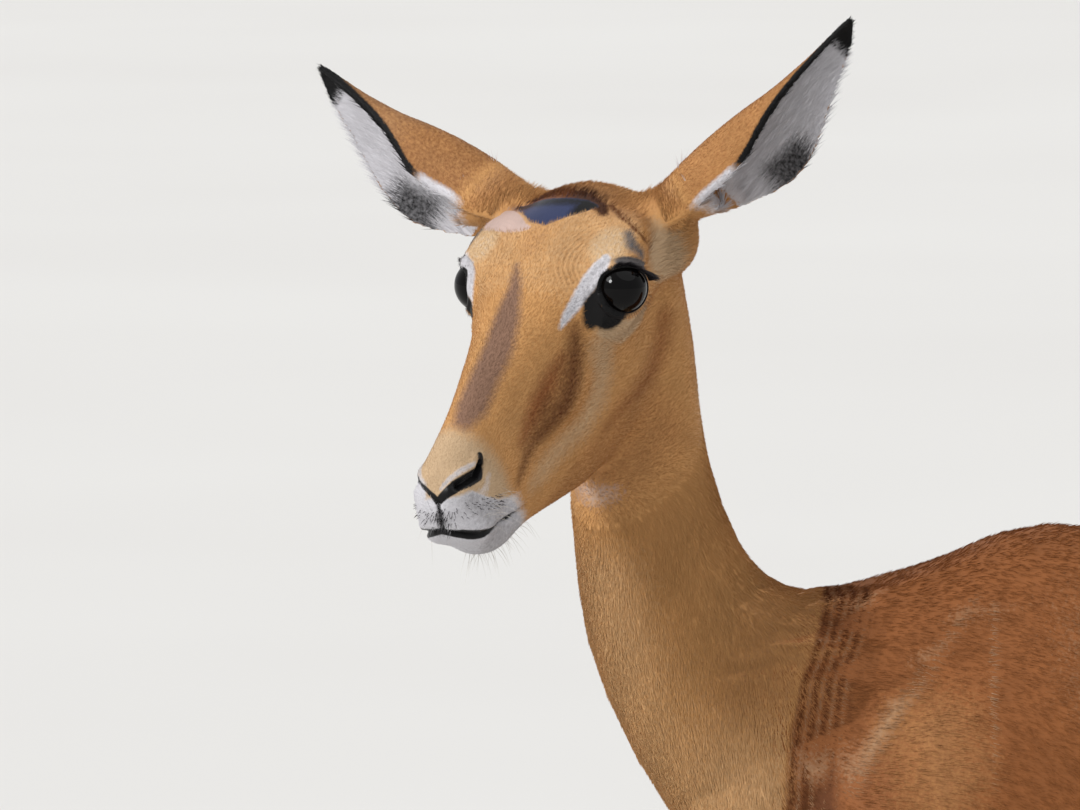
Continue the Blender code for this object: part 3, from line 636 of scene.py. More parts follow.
def make_skin():
    """The flesh blended from its clay, the thin ears joined on, thinned, and sunk under the coat."""
    clay = [trunk_clay(), neck_clay(), tail_clay(), *head_clay()]
    clay += [leg_clay(*leg) for leg in LEGS]
    clay += [ear_stump(*ear) for ear in EARS]
    flesh = joined("flesh", clay)
    settle(flesh, "REMESH", mode="VOXEL", voxel_size=CLAY_VOXEL)
    relax(flesh, softness(places_of(flesh)), SOFT_ROUNDS)
    relax(flesh, np.ones(len(flesh.data.vertices)), FINE_ROUNDS)
    skin = joined("skin", [flesh, *[ear_clay(*ear) for ear in EARS]])
    settle(skin, "REMESH", mode="VOXEL", voxel_size=SKIN_VOXEL)
    relax(skin, 1 - 0.4 * ear_share(places_of(skin)), 8)
    weigh(skin, "thin", fineness(places_of(skin)))
    settle(skin, "DECIMATE", ratio=SKIN_RATIO, vertex_group="thin", vertex_group_factor=1.0)
    skin.vertex_groups.clear()
    places = places_of(skin)
    put_places(skin, places - normals_of(skin) * coat_depth(places)[:, None])
    return skin


# ---------------------------------------------------------------- lines and spots on the head
# Each point is forward, left, up of the head, and half the line's width, in metres.
BLAZE = (
    (0.0002, -0.0071, 0.0218, 0.002), (0.0157, -0.001, 0.0219, 0.005), (0.0415, 0.004, 0.0209, 0.009),
    (0.065, 0.0068, 0.0185, 0.01), (0.0866, 0.0055, 0.0157, 0.0098), (0.1067, 0.005, 0.013, 0.01),
    (0.118, 0.004, 0.012, 0.007),
)
EYE_STRIPE = (
    (-0.0141, 0.0458, 0.0139, 0.003), (-0.0082, 0.0436, 0.0124, 0.0052), (0.0005, 0.0402, 0.0103, 0.0056),
    (0.0091, 0.0367, 0.0081, 0.0047), (0.0181, 0.0336, 0.0063, 0.0038), (0.0266, 0.0312, 0.005, 0.0028),
    (0.0328, 0.0299, 0.0038, 0.0012),
)
TEAR = (
    (-0.0026, 0.0493, 0.0072, 0.002), (0.004, 0.0459, 0.0055, 0.0042),
    (0.0115, 0.0425, 0.0008, 0.0066), (0.0165, 0.0405, -0.006, 0.0062), (0.0175, 0.0394, -0.0075, 0.0045),
)
FAR_SHIFT = np.array((0.0, 0.006, -0.001))  # of the right eye's marks from the left one's, mirrored
LID_SPOT = (
    (-0.0352, 0.0518, 0.0134, 0.0034), (-0.0284, 0.0562, 0.0103, 0.0046), (-0.0283, 0.0595, 0.0036, 0.004),
)
TEMPLE_LINE = (
    (-0.0604, 0.0287, 0.0108, 0.0018), (-0.0484, 0.0412, 0.0132, 0.0018),
    (-0.041, 0.0527, 0.0117, 0.0017), (-0.0384, 0.0579, 0.005, 0.0016), (-0.0425, 0.0534, -0.0114, 0.0013),
)
CHEEK_BAND = (
    (0.0277, 0.0343, -0.0032, 0.006), (0.0365, 0.0332, -0.015, 0.0098), (0.0486, 0.0315, -0.026, 0.0115),
    (0.0626, 0.0295, -0.032, 0.0115), (0.0778, 0.0247, -0.0335, 0.0105), (0.0901, 0.0213, -0.033, 0.008),
    (0.1022, 0.0196, -0.034, 0.0055),
)
NOSE_SIDE = (
    (0.07, 0.024, -0.024, 0.008), (0.0958, 0.0198, -0.033, 0.0085), (0.108, 0.018, -0.038, 0.007),
    (0.116, 0.017, -0.042, 0.004),
)
WARM_CHEEK = (
    (0.0463, 0.03, -0.0095, 0.005), (0.0626, 0.0269, -0.0138, 0.0085), (0.0764, 0.0242, -0.0163, 0.0088),
    (0.0893, 0.022, -0.0199, 0.007), (0.1, 0.02, -0.023, 0.004),
)
PALE_CHEEK = (
    (0.0161, 0.0392, -0.0284, 0.015), (0.0211, 0.0321, -0.0468, 0.0125), (0.0326, 0.0276, -0.059, 0.0105),
    (0.0483, 0.0231, -0.0641, 0.0098), (0.0703, 0.0203, -0.0588, 0.0092), (0.0921, 0.0177, -0.0562, 0.0085),
    (0.106, 0.0165, -0.0544, 0.0055),
)
UNDER_EYE = (
    (0.0135, 0.0464, -0.018, 0.009), (-0.0066, 0.0426, -0.035, 0.0125), (-0.023, 0.038, -0.044, 0.008),
)
REAR_CHEEK = (
    (-0.0432, 0.0388, -0.068, 0.008), (-0.03, 0.0375, -0.0777, 0.009),
    (-0.015, 0.0357, -0.0836, 0.0092), (0.0014, 0.0344, -0.0836, 0.009),
    (0.0199, 0.0314, -0.0796, 0.0072), (0.0345, 0.0257, -0.0816, 0.0055),
)
NOSTRIL = (
    (0.1325, 0.017, 0.0004, 0.0023), (0.135, 0.0176, -0.003, 0.0029), (0.143, 0.018, -0.0042, 0.0043),
    (0.1515, 0.016, -0.0004, 0.0045), (0.1605, 0.014, 0.004, 0.0038), (0.1668, 0.0082, 0.0028, 0.0028),
    (0.1697, 0.0043, 0.0003, 0.0024),
)
RIGHT_NOSTRIL = (
    *((forward, -left, up, half) for forward, left, up, half in NOSTRIL[:3]),
    (0.151, -0.0165, 0.001, 0.004), (0.1571, -0.013, 0.0062, 0.0014), (0.1643, -0.0042, 0.0053, 0.0013),
    (0.1679, 0.0017, 0.0025, 0.0018), (0.1697, 0.0043, 0.0003, 0.0024),
)
NOSE_RIM = (
    (0.1645, 0.0061, 0.0058, 0.0014), (0.1599, 0.0091, 0.0078, 0.0018), (0.1541, 0.0127, 0.0077, 0.002),
    (0.1469, 0.0153, 0.005, 0.002), (0.14, 0.017, 0.0018, 0.0016),
)
NOSTRIL_HOLE = (
    (0.1355, 0.0178, -0.0034), (0.143, 0.018, -0.0042), (0.1515, 0.0162, -0.0002), (0.159, 0.0146, 0.0034),
)
LIP_GROOVE = (
    (0.1697, 0.0043, 0.0003, 0.0016), (0.1718, 0.0042, -0.0026, 0.0013), (0.1732, 0.0043, -0.0054, 0.0012),
    (0.1749, 0.0038, -0.0105, 0.0012), (0.1757, 0.003, -0.017, 0.0014),
)
MOUTH = (
    (0.1758, 0.0, -0.0186, 0.0028), (0.1751, 0.0074, -0.0206, 0.0036), (0.1735, 0.0126, -0.023, 0.0038),
    (0.1706, 0.0168, -0.0266, 0.0036), (0.165, 0.0197, -0.0314, 0.003), (0.1556, 0.0205, -0.037, 0.0018),
    (0.1356, 0.0155, -0.0507, 0.0012), (0.1244, 0.0146, -0.0568, 0.0008), (0.1154, 0.0142, -0.0613, 0.0005),
)
# forward, and how far up the white of the lips reaches there
LIP_WHITE = (
    (0.106, -0.05), (0.1098, -0.0474), (0.1172, -0.047), (0.1278, -0.042), (0.1418, -0.029),
    (0.1487, -0.019), (0.1549, -0.0068), (0.16, -0.004), (0.168, 0.0005), (0.175, 0.002),
)
WING_WHITE = (
    (0.1599, 0.019, -0.009, 0.004), (0.1462, 0.0206, -0.014, 0.0036), (0.1369, 0.0196, -0.0116, 0.0024),
)
# left, and the front and back edges of the bare crown there: the dark part, and the pink part
CROWN_DARK = (
    (-0.04, -0.062, -0.064), (-0.034, -0.054, -0.0625), (-0.0243, -0.0457, -0.0615),
    (-0.0134, -0.0357, -0.06), (-0.001, -0.0324, -0.0595), (0.0069, -0.038, -0.06),
    (0.0143, -0.0436, -0.06), (0.019, -0.048, -0.059), (0.023, -0.054, -0.057),
)
CROWN_PINK = (
    (-0.054, -0.046, -0.06), (-0.048, -0.034, -0.061), (-0.038, -0.032, -0.0565),
    (-0.0257, -0.0295, -0.046), (-0.016, -0.0285, -0.036), (-0.011, -0.03, -0.033),
)
CROWN_FUR = (  # the dark fur behind the bare crown, seen from above
    (-0.058, -0.038, 0.0, 0.003), (-0.064, -0.025, 0.0, 0.005), (-0.064, -0.005, 0.0, 0.006),
    (-0.062, 0.012, 0.0, 0.006), (-0.056, 0.024, 0.0, 0.005), (-0.05, 0.029, 0.0, 0.003),
)
BROW = (-0.012, 0.046, 0.008)  # the middle of the left brow's arcs of folds
WRINKLE_STEP = 0.0031
WRINKLE_DEPTH = 0.00038


# ---------------------------------------------------------------- lines and folds on the shoulder
# Each point is x, y, z of the left side, and half the line's width.
FIRST_FOLD = ((0.65, -0.352), (0.705, -0.3455), (0.752, -0.338), (0.8, -0.316))  # height, y
FOLD_STEP = 0.007  # between two folds, measured front to back
FOLD_COUNT = 3.7
SHOULDER_RIDGE = (
    (0.0416, -0.228, 0.7987, 0.004), (0.0522, -0.2445, 0.7803, 0.006), (0.0607, -0.2648, 0.7545, 0.0075),
    (0.0692, -0.2881, 0.7246, 0.008), (0.0794, -0.3116, 0.6914, 0.01),
)
UNDER_RIDGE = (
    (0.0627, -0.2529, 0.75, 0.001), (0.0668, -0.266, 0.734, 0.0022), (0.0717, -0.286, 0.712, 0.0026),
    (0.0767, -0.306, 0.688, 0.002),
)
SHOULDER_LINE = (
    (0.047, -0.2186, 0.7943, 0.002), (0.0627, -0.2221, 0.769, 0.0028), (0.0811, -0.2267, 0.7411, 0.0024),
    (0.0933, -0.2287, 0.7156, 0.0014), (0.1024, -0.2307, 0.6896, 0.0008),
)


def along_path(spots, path):
    """For each piece of a line through points: how far off it each place is, and its half width there."""
    for here, there in zip(np.array(path), np.array(path)[1:]):
        step = there - here
        t = np.clip((spots - here[:3]) @ step[:3] / (step[:3] @ step[:3]), 0, 1)
        gap = np.linalg.norm(spots - here[:3] - t[:, None] * step[:3], axis=1)
        yield gap, here[-1] + t * step[-1]


def stroke(spots, path, soft=0.0010):
    """1 within half the width of a line through points, and 0 past its soft edge."""
    share = np.zeros(len(spots))
    for gap, half in along_path(spots, path):
        share = np.maximum(share, 1 - ramp(gap, half - soft, half + soft))
    return share


def bell(value, middle, width):
    return np.exp(-(((value - middle) / width) ** 2))


def groove(spots, path, width):
    """1 along a line through points, falling off as a bell of one width."""
    near = np.full(len(spots), np.inf)
    for gap, _ in along_path(spots, path):
        near = np.minimum(near, gap)
    return bell(near, 0, width)


def blot(spots, centre, radii, soft=0.25):
    """1 inside an ellipsoid, and 0 past its soft edge."""
    reach = np.linalg.norm((spots - np.array(centre)) / np.array(radii), axis=1)
    return 1 - ramp(reach, 1 - soft, 1 + soft)


def both_sides(spots):
    """Places of the head with its right side folded over onto the left."""
    return spots * np.array((1, 0, 1)) + np.abs(spots) * np.array((0, 1, 0))


def both_flanks(places):
    """Places of the body with its right side folded over onto the left."""
    return np.stack([np.abs(places[:, 0]), places[:, 1], places[:, 2]], axis=1)


UPPER_LID = 0.86  # height of the upper lid's arch beside the lower one's


def lid_place(places, sign):
    """Along the slit, across it and out of an eye, and how far out from the opening's middle."""
    inverse = np.array(eye_frame(sign).inverted())
    found = places @ inverse[:3, :3].T + inverse[:3, 3]
    along, across = LID_OPENING
    half = across * (1 - (1 - UPPER_LID) * ramp(found[:, 1], 0.0, 0.006))
    return found, np.hypot(found[:, 0] / along, found[:, 1] / half)


# ---------------------------------------------------------------- the face in relief
def finer(made, chosen, rounds=1):
    """Splits the edges of the chosen points, then softens what is new."""
    for _ in range(rounds):
        work = bmesh.new()
        work.from_mesh(made.data)
        work.verts.ensure_lookup_table()
        share = chosen(np.array([v.co for v in work.verts]))
        picked = set(np.nonzero(share > 0.5)[0].tolist())
        edges = [e for e in work.edges if e.verts[0].index in picked and e.verts[1].index in picked]
        bmesh.ops.subdivide_edges(work, edges=edges, cuts=1, use_grid_fill=True)
        bmesh.ops.triangulate(work, faces=work.faces)
        work.to_mesh(made.data)
        work.free()
        made.data.update()
        relax(made, chosen(places_of(made)), 2)


def detail_share(places):
    """Where the face needs a finer skin: lids, nose, lips and brow."""
    spots = in_head(places)
    nose = (spots[:, 0] > 0.130) & (head_share(places) > 0)
    brow = blot(both_sides(spots), (-0.026, 0.022, 0.018), (0.034, 0.017, 0.013)) > 0.3
    folds = (fold_share(places) > 0.2) | (groove(both_flanks(places), SHOULDER_RIDGE, 0.012) > 0.3)
    return (nose | brow | folds | (eye_distance(places) < 0.028)).astype(float)


def rim_share(places):
    """The edges of the lids and nostrils."""
    share = stroke(both_sides(in_head(places)), NOSTRIL, 0.003)
    for sign in (1, -1):
        found, reach = lid_place(places, sign)
        share = np.maximum(share, (np.abs(reach - 1.05) < 0.22) & (found[:, 2] > 0))
    return (share > 0.3).astype(float)


LID_LIFT = 0.0008  # of the lids' edge off the eyeball
SOCKET = 0.0040  # how far the skin dips behind the eyeball's surface in the opening
OPEN_TO = 1.09  # where the skin leaves the ball, in openings
# Folds of the lids: place and width, in openings.
UPPER_CREASE, LOWER_CREASE, LID_ROLL = (1.42, 0.10), (1.30, 0.08), (1.16, 0.12)


def set_lids(places):
    """Skin opens round each eyeball: it lies over it outside the slit, and passes behind it inside."""
    for sign in (1, -1):
        frame = np.array(eye_frame(sign))
        found, reach = lid_place(places, sign)
        radius = np.linalg.norm(found, axis=1)
        near = (found[:, 2] > -0.004) & (radius < 0.036)
        over = found[:, 1] / LID_OPENING[1]
        edge = EYE_RADIUS + LID_LIFT
        upper = bell(reach, *UPPER_CREASE) * ramp(over, 0.1, 0.8)
        lower = bell(reach, *LOWER_CREASE) * ramp(-over, 0.2, 0.8)
        out = np.maximum(radius, edge + 0.0004) + 0.0006 * bell(reach, *LID_ROLL)
        out = out - 0.0010 * upper - 0.0007 * lower
        opened = edge - (LID_LIFT + SOCKET) * ramp(OPEN_TO - reach, 0.0, 0.09)
        wanted = np.where(reach < OPEN_TO, opened, np.maximum(out, edge))
        flat = np.hypot(found[:, 0], found[:, 1])
        bank = np.hypot(flat, np.maximum(0.0072 - 0.45 * (flat - 0.016), -0.02))
        out = np.where(reach > 1.15, np.maximum(out, radius + 0.7 * np.maximum(bank - radius, 0)), out)
        fade = 1 - ramp(reach, 1.9, 2.4)
        wanted = radius + (wanted - radius) * np.where(reach < OPEN_TO, 1.0, fade)
        found = np.where(near[:, None], found * (wanted / radius)[:, None], found)
        moved = found @ frame[:3, :3].T + frame[:3, 3]
        places = np.where(near[:, None], moved, places)
    return places


def relief(places):
    """How far the skin rises or sinks along its normal, in metres, for folds and openings."""
    spots = in_head(places)
    folded = both_sides(spots)
    near_head = head_share(places)
    height = -0.0062 * groove(folded, NOSTRIL_HOLE, 0.0026)
    height += 0.0012 * groove(folded - (0, 0, 0.0062), NOSTRIL_HOLE, 0.0028)  # the wing over it
    height -= 0.0016 * groove(spots, LIP_GROOVE, 0.0015)
    height -= 0.0030 * groove(folded, MOUTH, 0.0017)
    far = np.where(spots[:, 1:2] < 0, 1.0, 0.0)
    height += 0.0032 * far[:, 0] * groove(folded - far * FAR_SHIFT, EYE_STRIPE, 0.0055)
    height += 0.0008 * groove(folded - (0, 0, 0.0050), MOUTH[:-3], 0.0036)  # the upper lip's roll
    height -= 0.0011 * groove(folded, TEAR, 0.0040)
    height *= near_head
    height += near_head * wrinkles(spots) + shoulder_folds(places)
    return height


def wrinkles(spots):
    """Fine folds in arcs about each brow, from the crown down beside the nose bridge."""
    folded = both_sides(spots)
    turn = np.linalg.norm(folded - np.array(BROW), axis=1)
    wave = np.cos(2 * math.pi * turn / WRINKLE_STEP + 0.9 * np.sin(folded[:, 0] / 0.0045))
    share = ramp(turn, 0.013, 0.019) * (1 - ramp(turn, 0.029, 0.038))
    share *= 1 - ramp(folded[:, 1], 0.030, 0.040)
    share *= ramp(folded[:, 0], -0.052, -0.036) * (1 - ramp(folded[:, 0], 0.000, 0.022))
    return WRINKLE_DEPTH * share * wave


def behind_fold(places):
    """How many folds a place lies behind the first one."""
    return (places[:, 1] - np.interp(places[:, 2], *np.array(FIRST_FOLD).T)) / FOLD_STEP


def fold_share(places):
    """1 where the loose skin between neck and shoulder is pleated."""
    x, _, z = places.T
    behind = behind_fold(places)
    share = ramp(behind, -0.5, 0.3) * (1 - ramp(behind, FOLD_COUNT, FOLD_COUNT + 1.4))
    return share * ramp(z, 0.60, 0.67) * (1 - ramp(z, 0.795, 0.812)) * np.where(x > 0, 1.0, 0.6)


def shoulder_folds(places):
    """Upright folds of loose skin where the neck meets the shoulder, and the ridges behind them."""
    folded = both_flanks(places)
    height = 0.0026 * fold_share(places) * np.cos(2 * math.pi * behind_fold(places))
    height += 0.0028 * groove(folded, SHOULDER_RIDGE, 0.0090)
    height -= 0.0022 * groove(folded, UNDER_RIDGE, 0.0045)
    height += 0.0022 * groove(folded, SHOULDER_LINE, 0.0045)
    return height


def sculpt(skin):
    """Opens the lids and cuts the folds; the places before the folds are returned, for the markings."""
    finer(skin, detail_share)
    finer(skin, rim_share)
    put_places(skin, set_lids(places_of(skin)))
    smooth = places_of(skin)
    put_places(skin, smooth + normals_of(skin) * relief(smooth)[:, None])
    return smooth


def ear_side(places, normals):
    """Station along the nearer ear, metres across it, and 1 on the hollow side, 0 on the back."""
    station, width, hollow = np.zeros(len(places)), np.zeros(len(places)), np.zeros(len(places))
    for ear in EARS:
        _, sign, reach, turn, breadth = ear
        root, along, across, facing = ear_axes(sign, reach, turn)
        here, side, out = ear_place(places, ear)
        mouth = np.array(root) + here[:, None] * np.array(along) + 0.034 * breadth * np.array(across)
        inward = ((mouth - places) * normals).sum(1) - 0.25 * np.linalg.norm(mouth - places, axis=1)
        mine = in_head(places)[:, 1] * sign > 0
        station = np.where(mine, here, station)
        width = np.where(mine, side, width)
        open_side = (inward > 0) & ((normals @ np.array(facing)) > -0.35)
        hollow = np.where(mine, open_side & (here > np.where(out > 0, 0.04, 0.16)), hollow)
    return station, width, hollow


# ---------------------------------------------------------------- markings
# Edges on the body: two rows, the second one's values at the first one's.
NECK_EDGE = (  # height, y: the neck's tan ends there and the red saddle begins
    (0.60, 0.683, 0.723, 0.757, 0.80, 0.86), (-0.358, -0.347, -0.343, -0.336, -0.316, -0.280),
)
NAPE_EDGE = ((0.70, 0.80, 0.95), (-0.40, -0.42, -0.46))  # height, y
SADDLE_EDGE = ((-0.34, -0.24, -0.10, 0.10, 0.28, 0.40), (0.60, 0.60, 0.645, 0.685, 0.69, 0.68))  # y, height
BELLY_EDGE = ((-0.34, -0.24, -0.10, 0.10, 0.30), (0.500, 0.545, 0.560, 0.575, 0.600))  # y, height
BUTTOCK_LINE = ((0.52, 0.62, 0.72, 0.80), (0.058, 0.052, 0.044, 0.034))  # height, out from the middle
# Spots on the left side of the body: centre, radii, softness.
SHOULDER_FRONT = ((0.078, -0.262, 0.700), (0.06, 0.045, 0.065), 0.6)
# WITHERS_SHEEN is a painted highlight: pale sheen laid on the withers
WITHERS_SHEEN = ((0.060, -0.150, 0.760), (0.08, 0.060, 0.080), 0.7)
LINE_SHADE = (0.004, 0.026, 0.0)  # how far behind the shoulder's line its shade lies
LEG_MIDDLE = 0.075  # out from the body's middle
GLAND_HEIGHT = 0.135  # of the dark tuft at the back of each hind cannon
GLAND_BACK = (0.376, 0.330)  # its y on the left leg and on the right one


def leg_side(places):
    """+1 by the left legs and -1 by the right ones, and how far in from a leg's middle a place lies."""
    side = np.where(places[:, 0] > 0, 1.0, -1.0)
    return side, LEG_MIDDLE - np.abs(places[:, 0])


def gland_share(places, radii):
    """1 in the tuft at the back of each hind cannon."""
    side, inward = leg_side(places)
    back = places[:, 1] - np.where(side > 0, *GLAND_BACK)
    return blot(np.stack([inward, back, places[:, 2]], axis=1), (0, 0, GLAND_HEIGHT), radii, 0.3)


def coat_marks(places, normals):
    """The red saddle, fawn flanks and legs, the tan of the neck, and white below."""
    x, y, z = places.T
    side, _ = leg_side(places)
    body = 1 - head_share(places)
    line = np.interp(z, *NECK_EDGE)
    behind = ramp(y - line, -0.007, 0.005)
    above = ramp(z - np.interp(y, *SADDLE_EDGE), -0.030, 0.030)
    base = ramp(y - line, -0.110, -0.030)
    nape = (1 - base) * ramp(y - np.interp(z, *NAPE_EDGE), -0.03, 0.04)
    neck = (1 - behind) * ramp(z, 0.56, 0.62) * body
    fawn = np.max([
        (1 - above) * behind * body,
        ramp(-z, -0.60, -0.52) * body,
        (0.42 - 0.18 * ramp(z, 0.69, 0.76) * base) * neck * (1 - nape),
        0.30 * behind * above * (1 - ramp(np.abs(y + 0.20), 0.05, 0.16)) * body,
    ], axis=0)
    rufous = np.max([
        behind * above * body,
        0.38 * neck * nape * (1 - ramp(z, 0.70, 0.94)),
        0.34 * neck * base * ramp(z, 0.68, 0.75),
    ], axis=0)
    belly = ramp(np.interp(y, *BELLY_EDGE) - z, -0.006, 0.014) * ramp(z, 0.46, 0.48) * (1 - leg_share(places))
    inner = ramp(-normals[:, 0] * side, 0.1, 0.6) * ramp(z, 0.26, 0.42) * (1 - ramp(z, 0.46, 0.56))
    below = np.maximum(belly * ramp(-np.abs(x), -0.105, -0.075), 0.8 * inner * (y > -0.4)) * body
    front = blot(both_flanks(places), *SHOULDER_FRONT)
    return {"fawn": fawn, "rufous": rufous * (1 - 0.40 * front), "white": below}


def rump_marks(places):
    """White round the tail and on it, an upright black stripe down each buttock and one down the tail."""
    x, y, z = places.T
    rear = ramp(y, 0.345, 0.372)
    tail = tail_share(places)
    aside = np.abs(np.abs(x) - np.interp(z, *BUTTOCK_LINE))
    stripe = (1 - ramp(aside, 0.0045, 0.0085)) * rear * ramp(z, 0.52, 0.56) * (1 - ramp(z, 0.775, 0.80))
    inside = (1 - ramp(np.abs(x), 0.030, 0.044)) * rear * ramp(z, 0.50, 0.54) * (1 - ramp(z, 0.765, 0.795))
    midline = (1 - ramp(np.abs(x), 0.0035, 0.0065)) * tail * ramp(y, 0.425, 0.436)
    return {"white": np.maximum(inside, tail), "black": np.maximum(stripe * (1 - tail), midline)}


def leg_marks(places, normals):
    """A dark tuft at the back of each hind cannon, a brown knee, and feet that darken to the hooves."""
    _, y, z = places.T
    _, inward = leg_side(places)
    knee = blot(np.stack([inward, z], axis=1), (0, 0.27), (0.016, 0.03)) * (y < 0)
    knee = knee * ramp(-normals[:, 1], 0.2, 0.8)
    foot = leg_share(places) * ramp(-z, -0.052, -0.034)
    brown = np.maximum(0.35 * knee, 0.45 * foot) * (1 - head_share(places))
    return {"brown": brown, "black": ramp(y, 0.20, 0.24) * gland_share(places, (0.016, 0.020, 0.030))}


def shoulder_marks(places):
    """Painted shade in the folds' hollows, under the shoulder's ridge and behind its line; painted highlights
    on the folds' crests, the ridge, the line and the withers.
    """
    flanks = both_flanks(places)
    body = 1 - head_share(places)
    # painted highlight along the shoulder's ridge and line, painted shade under the ridge and behind the line
    ridge_highlight = stroke(flanks, SHOULDER_RIDGE, 0.010)
    shine = stroke(flanks, SHOULDER_LINE, 0.005)
    shade = stroke(flanks - LINE_SHADE, SHOULDER_LINE, 0.016)
    under_ridge_shade = stroke(flanks, UNDER_RIDGE, 0.005)
    folds = fold_share(places)
    # painted shade: brown over the pleats, darkest in their hollows; the paler crests are a painted highlight
    hollows = folds * (0.5 - 0.5 * np.cos(2 * math.pi * behind_fold(places)))
    crest_highlight = folds - hollows
    brown = np.max([hollows, 0.24 * folds, 0.45 * shade, 0.75 * under_ridge_shade], axis=0) * body
    # painted sheen: a pale blot on the withers
    sheen = blot(flanks, *WITHERS_SHEEN)
    beige = np.max([0.44 * ridge_highlight, 0.62 * shine, 0.26 * sheen, 0.40 * crest_highlight], axis=0) * body
    return {"beige": beige, "grey": 0.30 * shine, "brown": brown}


def nearest_lid(places):
    """How far from the nearer eye's middle a place is, how far over it, and to its inner end, in openings."""
    reach, over, inner = np.full(len(places), 9.0), np.zeros(len(places)), np.zeros(len(places))
    for sign in (1, -1):
        found, here = lid_place(places, sign)
        mine = (found[:, 2] > -0.002) & (here < reach)
        reach = np.where(mine, here, reach)
        over = np.where(mine, found[:, 1] / LID_OPENING[1], over)
        inner = np.where(mine, found[:, 0] / LID_OPENING[0], inner)
    return reach, over, inner


def bald_crown(spots):
    """The dark bare skin of the crown, the pink bare skin, and how near the dark part's back edge."""
    forward, left, up = spots.T
    shares = []
    for rows in (CROWN_DARK, CROWN_PINK):
        at = [row[0] for row in rows]
        front, back = (np.interp(left, at, [row[k] for row in rows]) for k in (1, 2))
        share = ramp(front - forward, -0.0015, 0.0025) * ramp(forward - back, -0.0015, 0.0025)
        share *= ramp(left, at[0] - 0.002, at[0] + 0.001) * (1 - ramp(left, at[-1] - 0.001, at[-1] + 0.002))
        shares.append(share * ramp(up, -0.004, 0.001))
        if rows is CROWN_DARK:
            behind = 1 - ramp(forward - back, 0.004, 0.014)
    return shares[0], shares[1] * (1 - shares[0]), behind


# Spots on the head: centre (forward, left, up), radii, softness.
ORBIT = ((-0.024, 0.044, 0.0150), (0.018, 0.015, 0.011), 0.6)
BEHIND_EYE = ((-0.052, 0.054, -0.022), (0.015, 0.012, 0.026), 0.5)
TEAR_HOLLOW = ((0.0085, 0.0476, -0.0095), (0.0110, 0.0105, 0.0100), 0.35)
RIGHT_NOSE = ((0.1650, -0.0120, 0.0010), (0.011, 0.009, 0.0100), 0.3)
FOREHEAD = ((-0.021, -0.004, 0.022), (0.020, 0.011, 0.012), 0.6)
THROAT = ((0.036, -0.006, -0.140), (0.016, 0.024, 0.010), 0.8)


def eye_marks(places, spots):
    """Black rims and tear hollows, grey lids, a white stripe over each eye and pale skin round it."""
    folded = both_sides(spots)
    lid, over, inner = nearest_lid(places)
    edge = 1.01 + 0.04 * ramp(over, 0.2, 1.0) + 0.12 * ramp(inner, 0.3, 0.9)
    rim = 1 - ramp(lid, edge, edge + 0.07)
    upper_lid = (1 - ramp(lid, 1.40, 1.60)) * ramp(over, 0.35, 0.85) * (1 - ramp(inner, 0.0, 0.6))
    lower_lid = (1 - ramp(lid, 1.10, 1.36)) * 0.35
    outward = np.where(spots[:, 1:2] < 0, 1.0, 0.0) * FAR_SHIFT
    stripe = stroke(folded - outward, EYE_STRIPE, 0.0024)
    tear = 0.93 * stroke(folded - outward, TEAR, 0.0034)
    orbit = blot(folded, *ORBIT)
    under_eye = stroke(folded, UNDER_EYE, 0.0050)
    lid_spot = stroke(folded, LID_SPOT, 0.0050)
    return {
        "fawn": 0.75 * orbit,
        "brown": 0.85 * stroke(folded, TEMPLE_LINE, 0.0012),
        "beige": np.max([0.8 * blot(folded, *BEHIND_EYE), 0.9 * under_eye, 0.3 * orbit], axis=0),
        "white": np.max([0.95 * stripe, 0.22 * orbit, 0.14 * under_eye], axis=0),
        "grey": np.max([0.80 * lid_spot, 0.95 * upper_lid, lower_lid, 0.33 * stripe], axis=0),
        "black": np.max([rim, tear, 0.95 * blot(spots, *TEAR_HOLLOW), 0.35 * upper_lid], axis=0),
    }


def muzzle_marks(spots):
    """White lips greyed by speckle and by painted shade, black nostrils and mouth, and the pale nose."""
    folded = both_sides(spots)
    forward, _, up = folded.T
    white_up = np.interp(forward, *np.array(LIP_WHITE).T)
    lip = ramp(white_up - up, -0.0045, 0.0020) * ramp(forward, 0.108, 0.136)
    lip = np.maximum(lip, 0.48 * stroke(folded, WING_WHITE, 0.0040))
    # grey speckle on the white lips, partly painted shade: less of it at the front of the lips, which faces
    # the light
    lip_speckle_and_shade = 0.40 * lip * (1 - 0.5 * ramp(forward, 0.158, 0.170))
    nose_rim = stroke(folded, NOSE_RIM, 0.0012)
    nostril = np.maximum(stroke(spots, NOSTRIL, 0.0009), stroke(spots, RIGHT_NOSTRIL, 0.0009))
    mouth = np.maximum(0.9 * stroke(spots, LIP_GROOVE, 0.0008), stroke(folded, MOUTH, 0.0009))
    return {
        "beige": 0.85 * ramp(forward, 0.112, 0.135),
        "white": np.max([lip, 0.62 * nose_rim, 0.85 * blot(spots, *RIGHT_NOSE)], axis=0),
        "grey": np.maximum(0.35 * nose_rim, lip_speckle_and_shade),
        "black": np.maximum(nostril, mouth),
    }


def cheek_marks(spots):
    """The blaze, the dark band down each cheek, warm and pale stretches beside it, and the white throat."""
    folded = both_sides(spots)
    forward, _, up = folded.T
    jaw_shade = ramp(-up, 0.060, 0.085) * ramp(forward, -0.040, 0.000) * (1 - ramp(forward, 0.095, 0.120))
    rear, warm = stroke(folded, REAR_CHEEK, 0.0170), stroke(folded, WARM_CHEEK, 0.0110)
    band, nose_side = stroke(folded, CHEEK_BAND, 0.0110), stroke(folded, NOSE_SIDE, 0.0100)
    throat = blot(spots, *THROAT)
    return {
        "rufous": np.max([0.42 * jaw_shade, 0.74 * rear, 0.80 * warm], axis=0),
        "brown": np.maximum(0.70 * band, 0.62 * nose_side),
        "beige": 0.62 * stroke(folded, PALE_CHEEK, 0.0140),
        "white": 0.46 * throat,
        "blaze": 0.86 * stroke(spots, BLAZE, 0.0068),
        "grey": 0.30 * throat,
    }


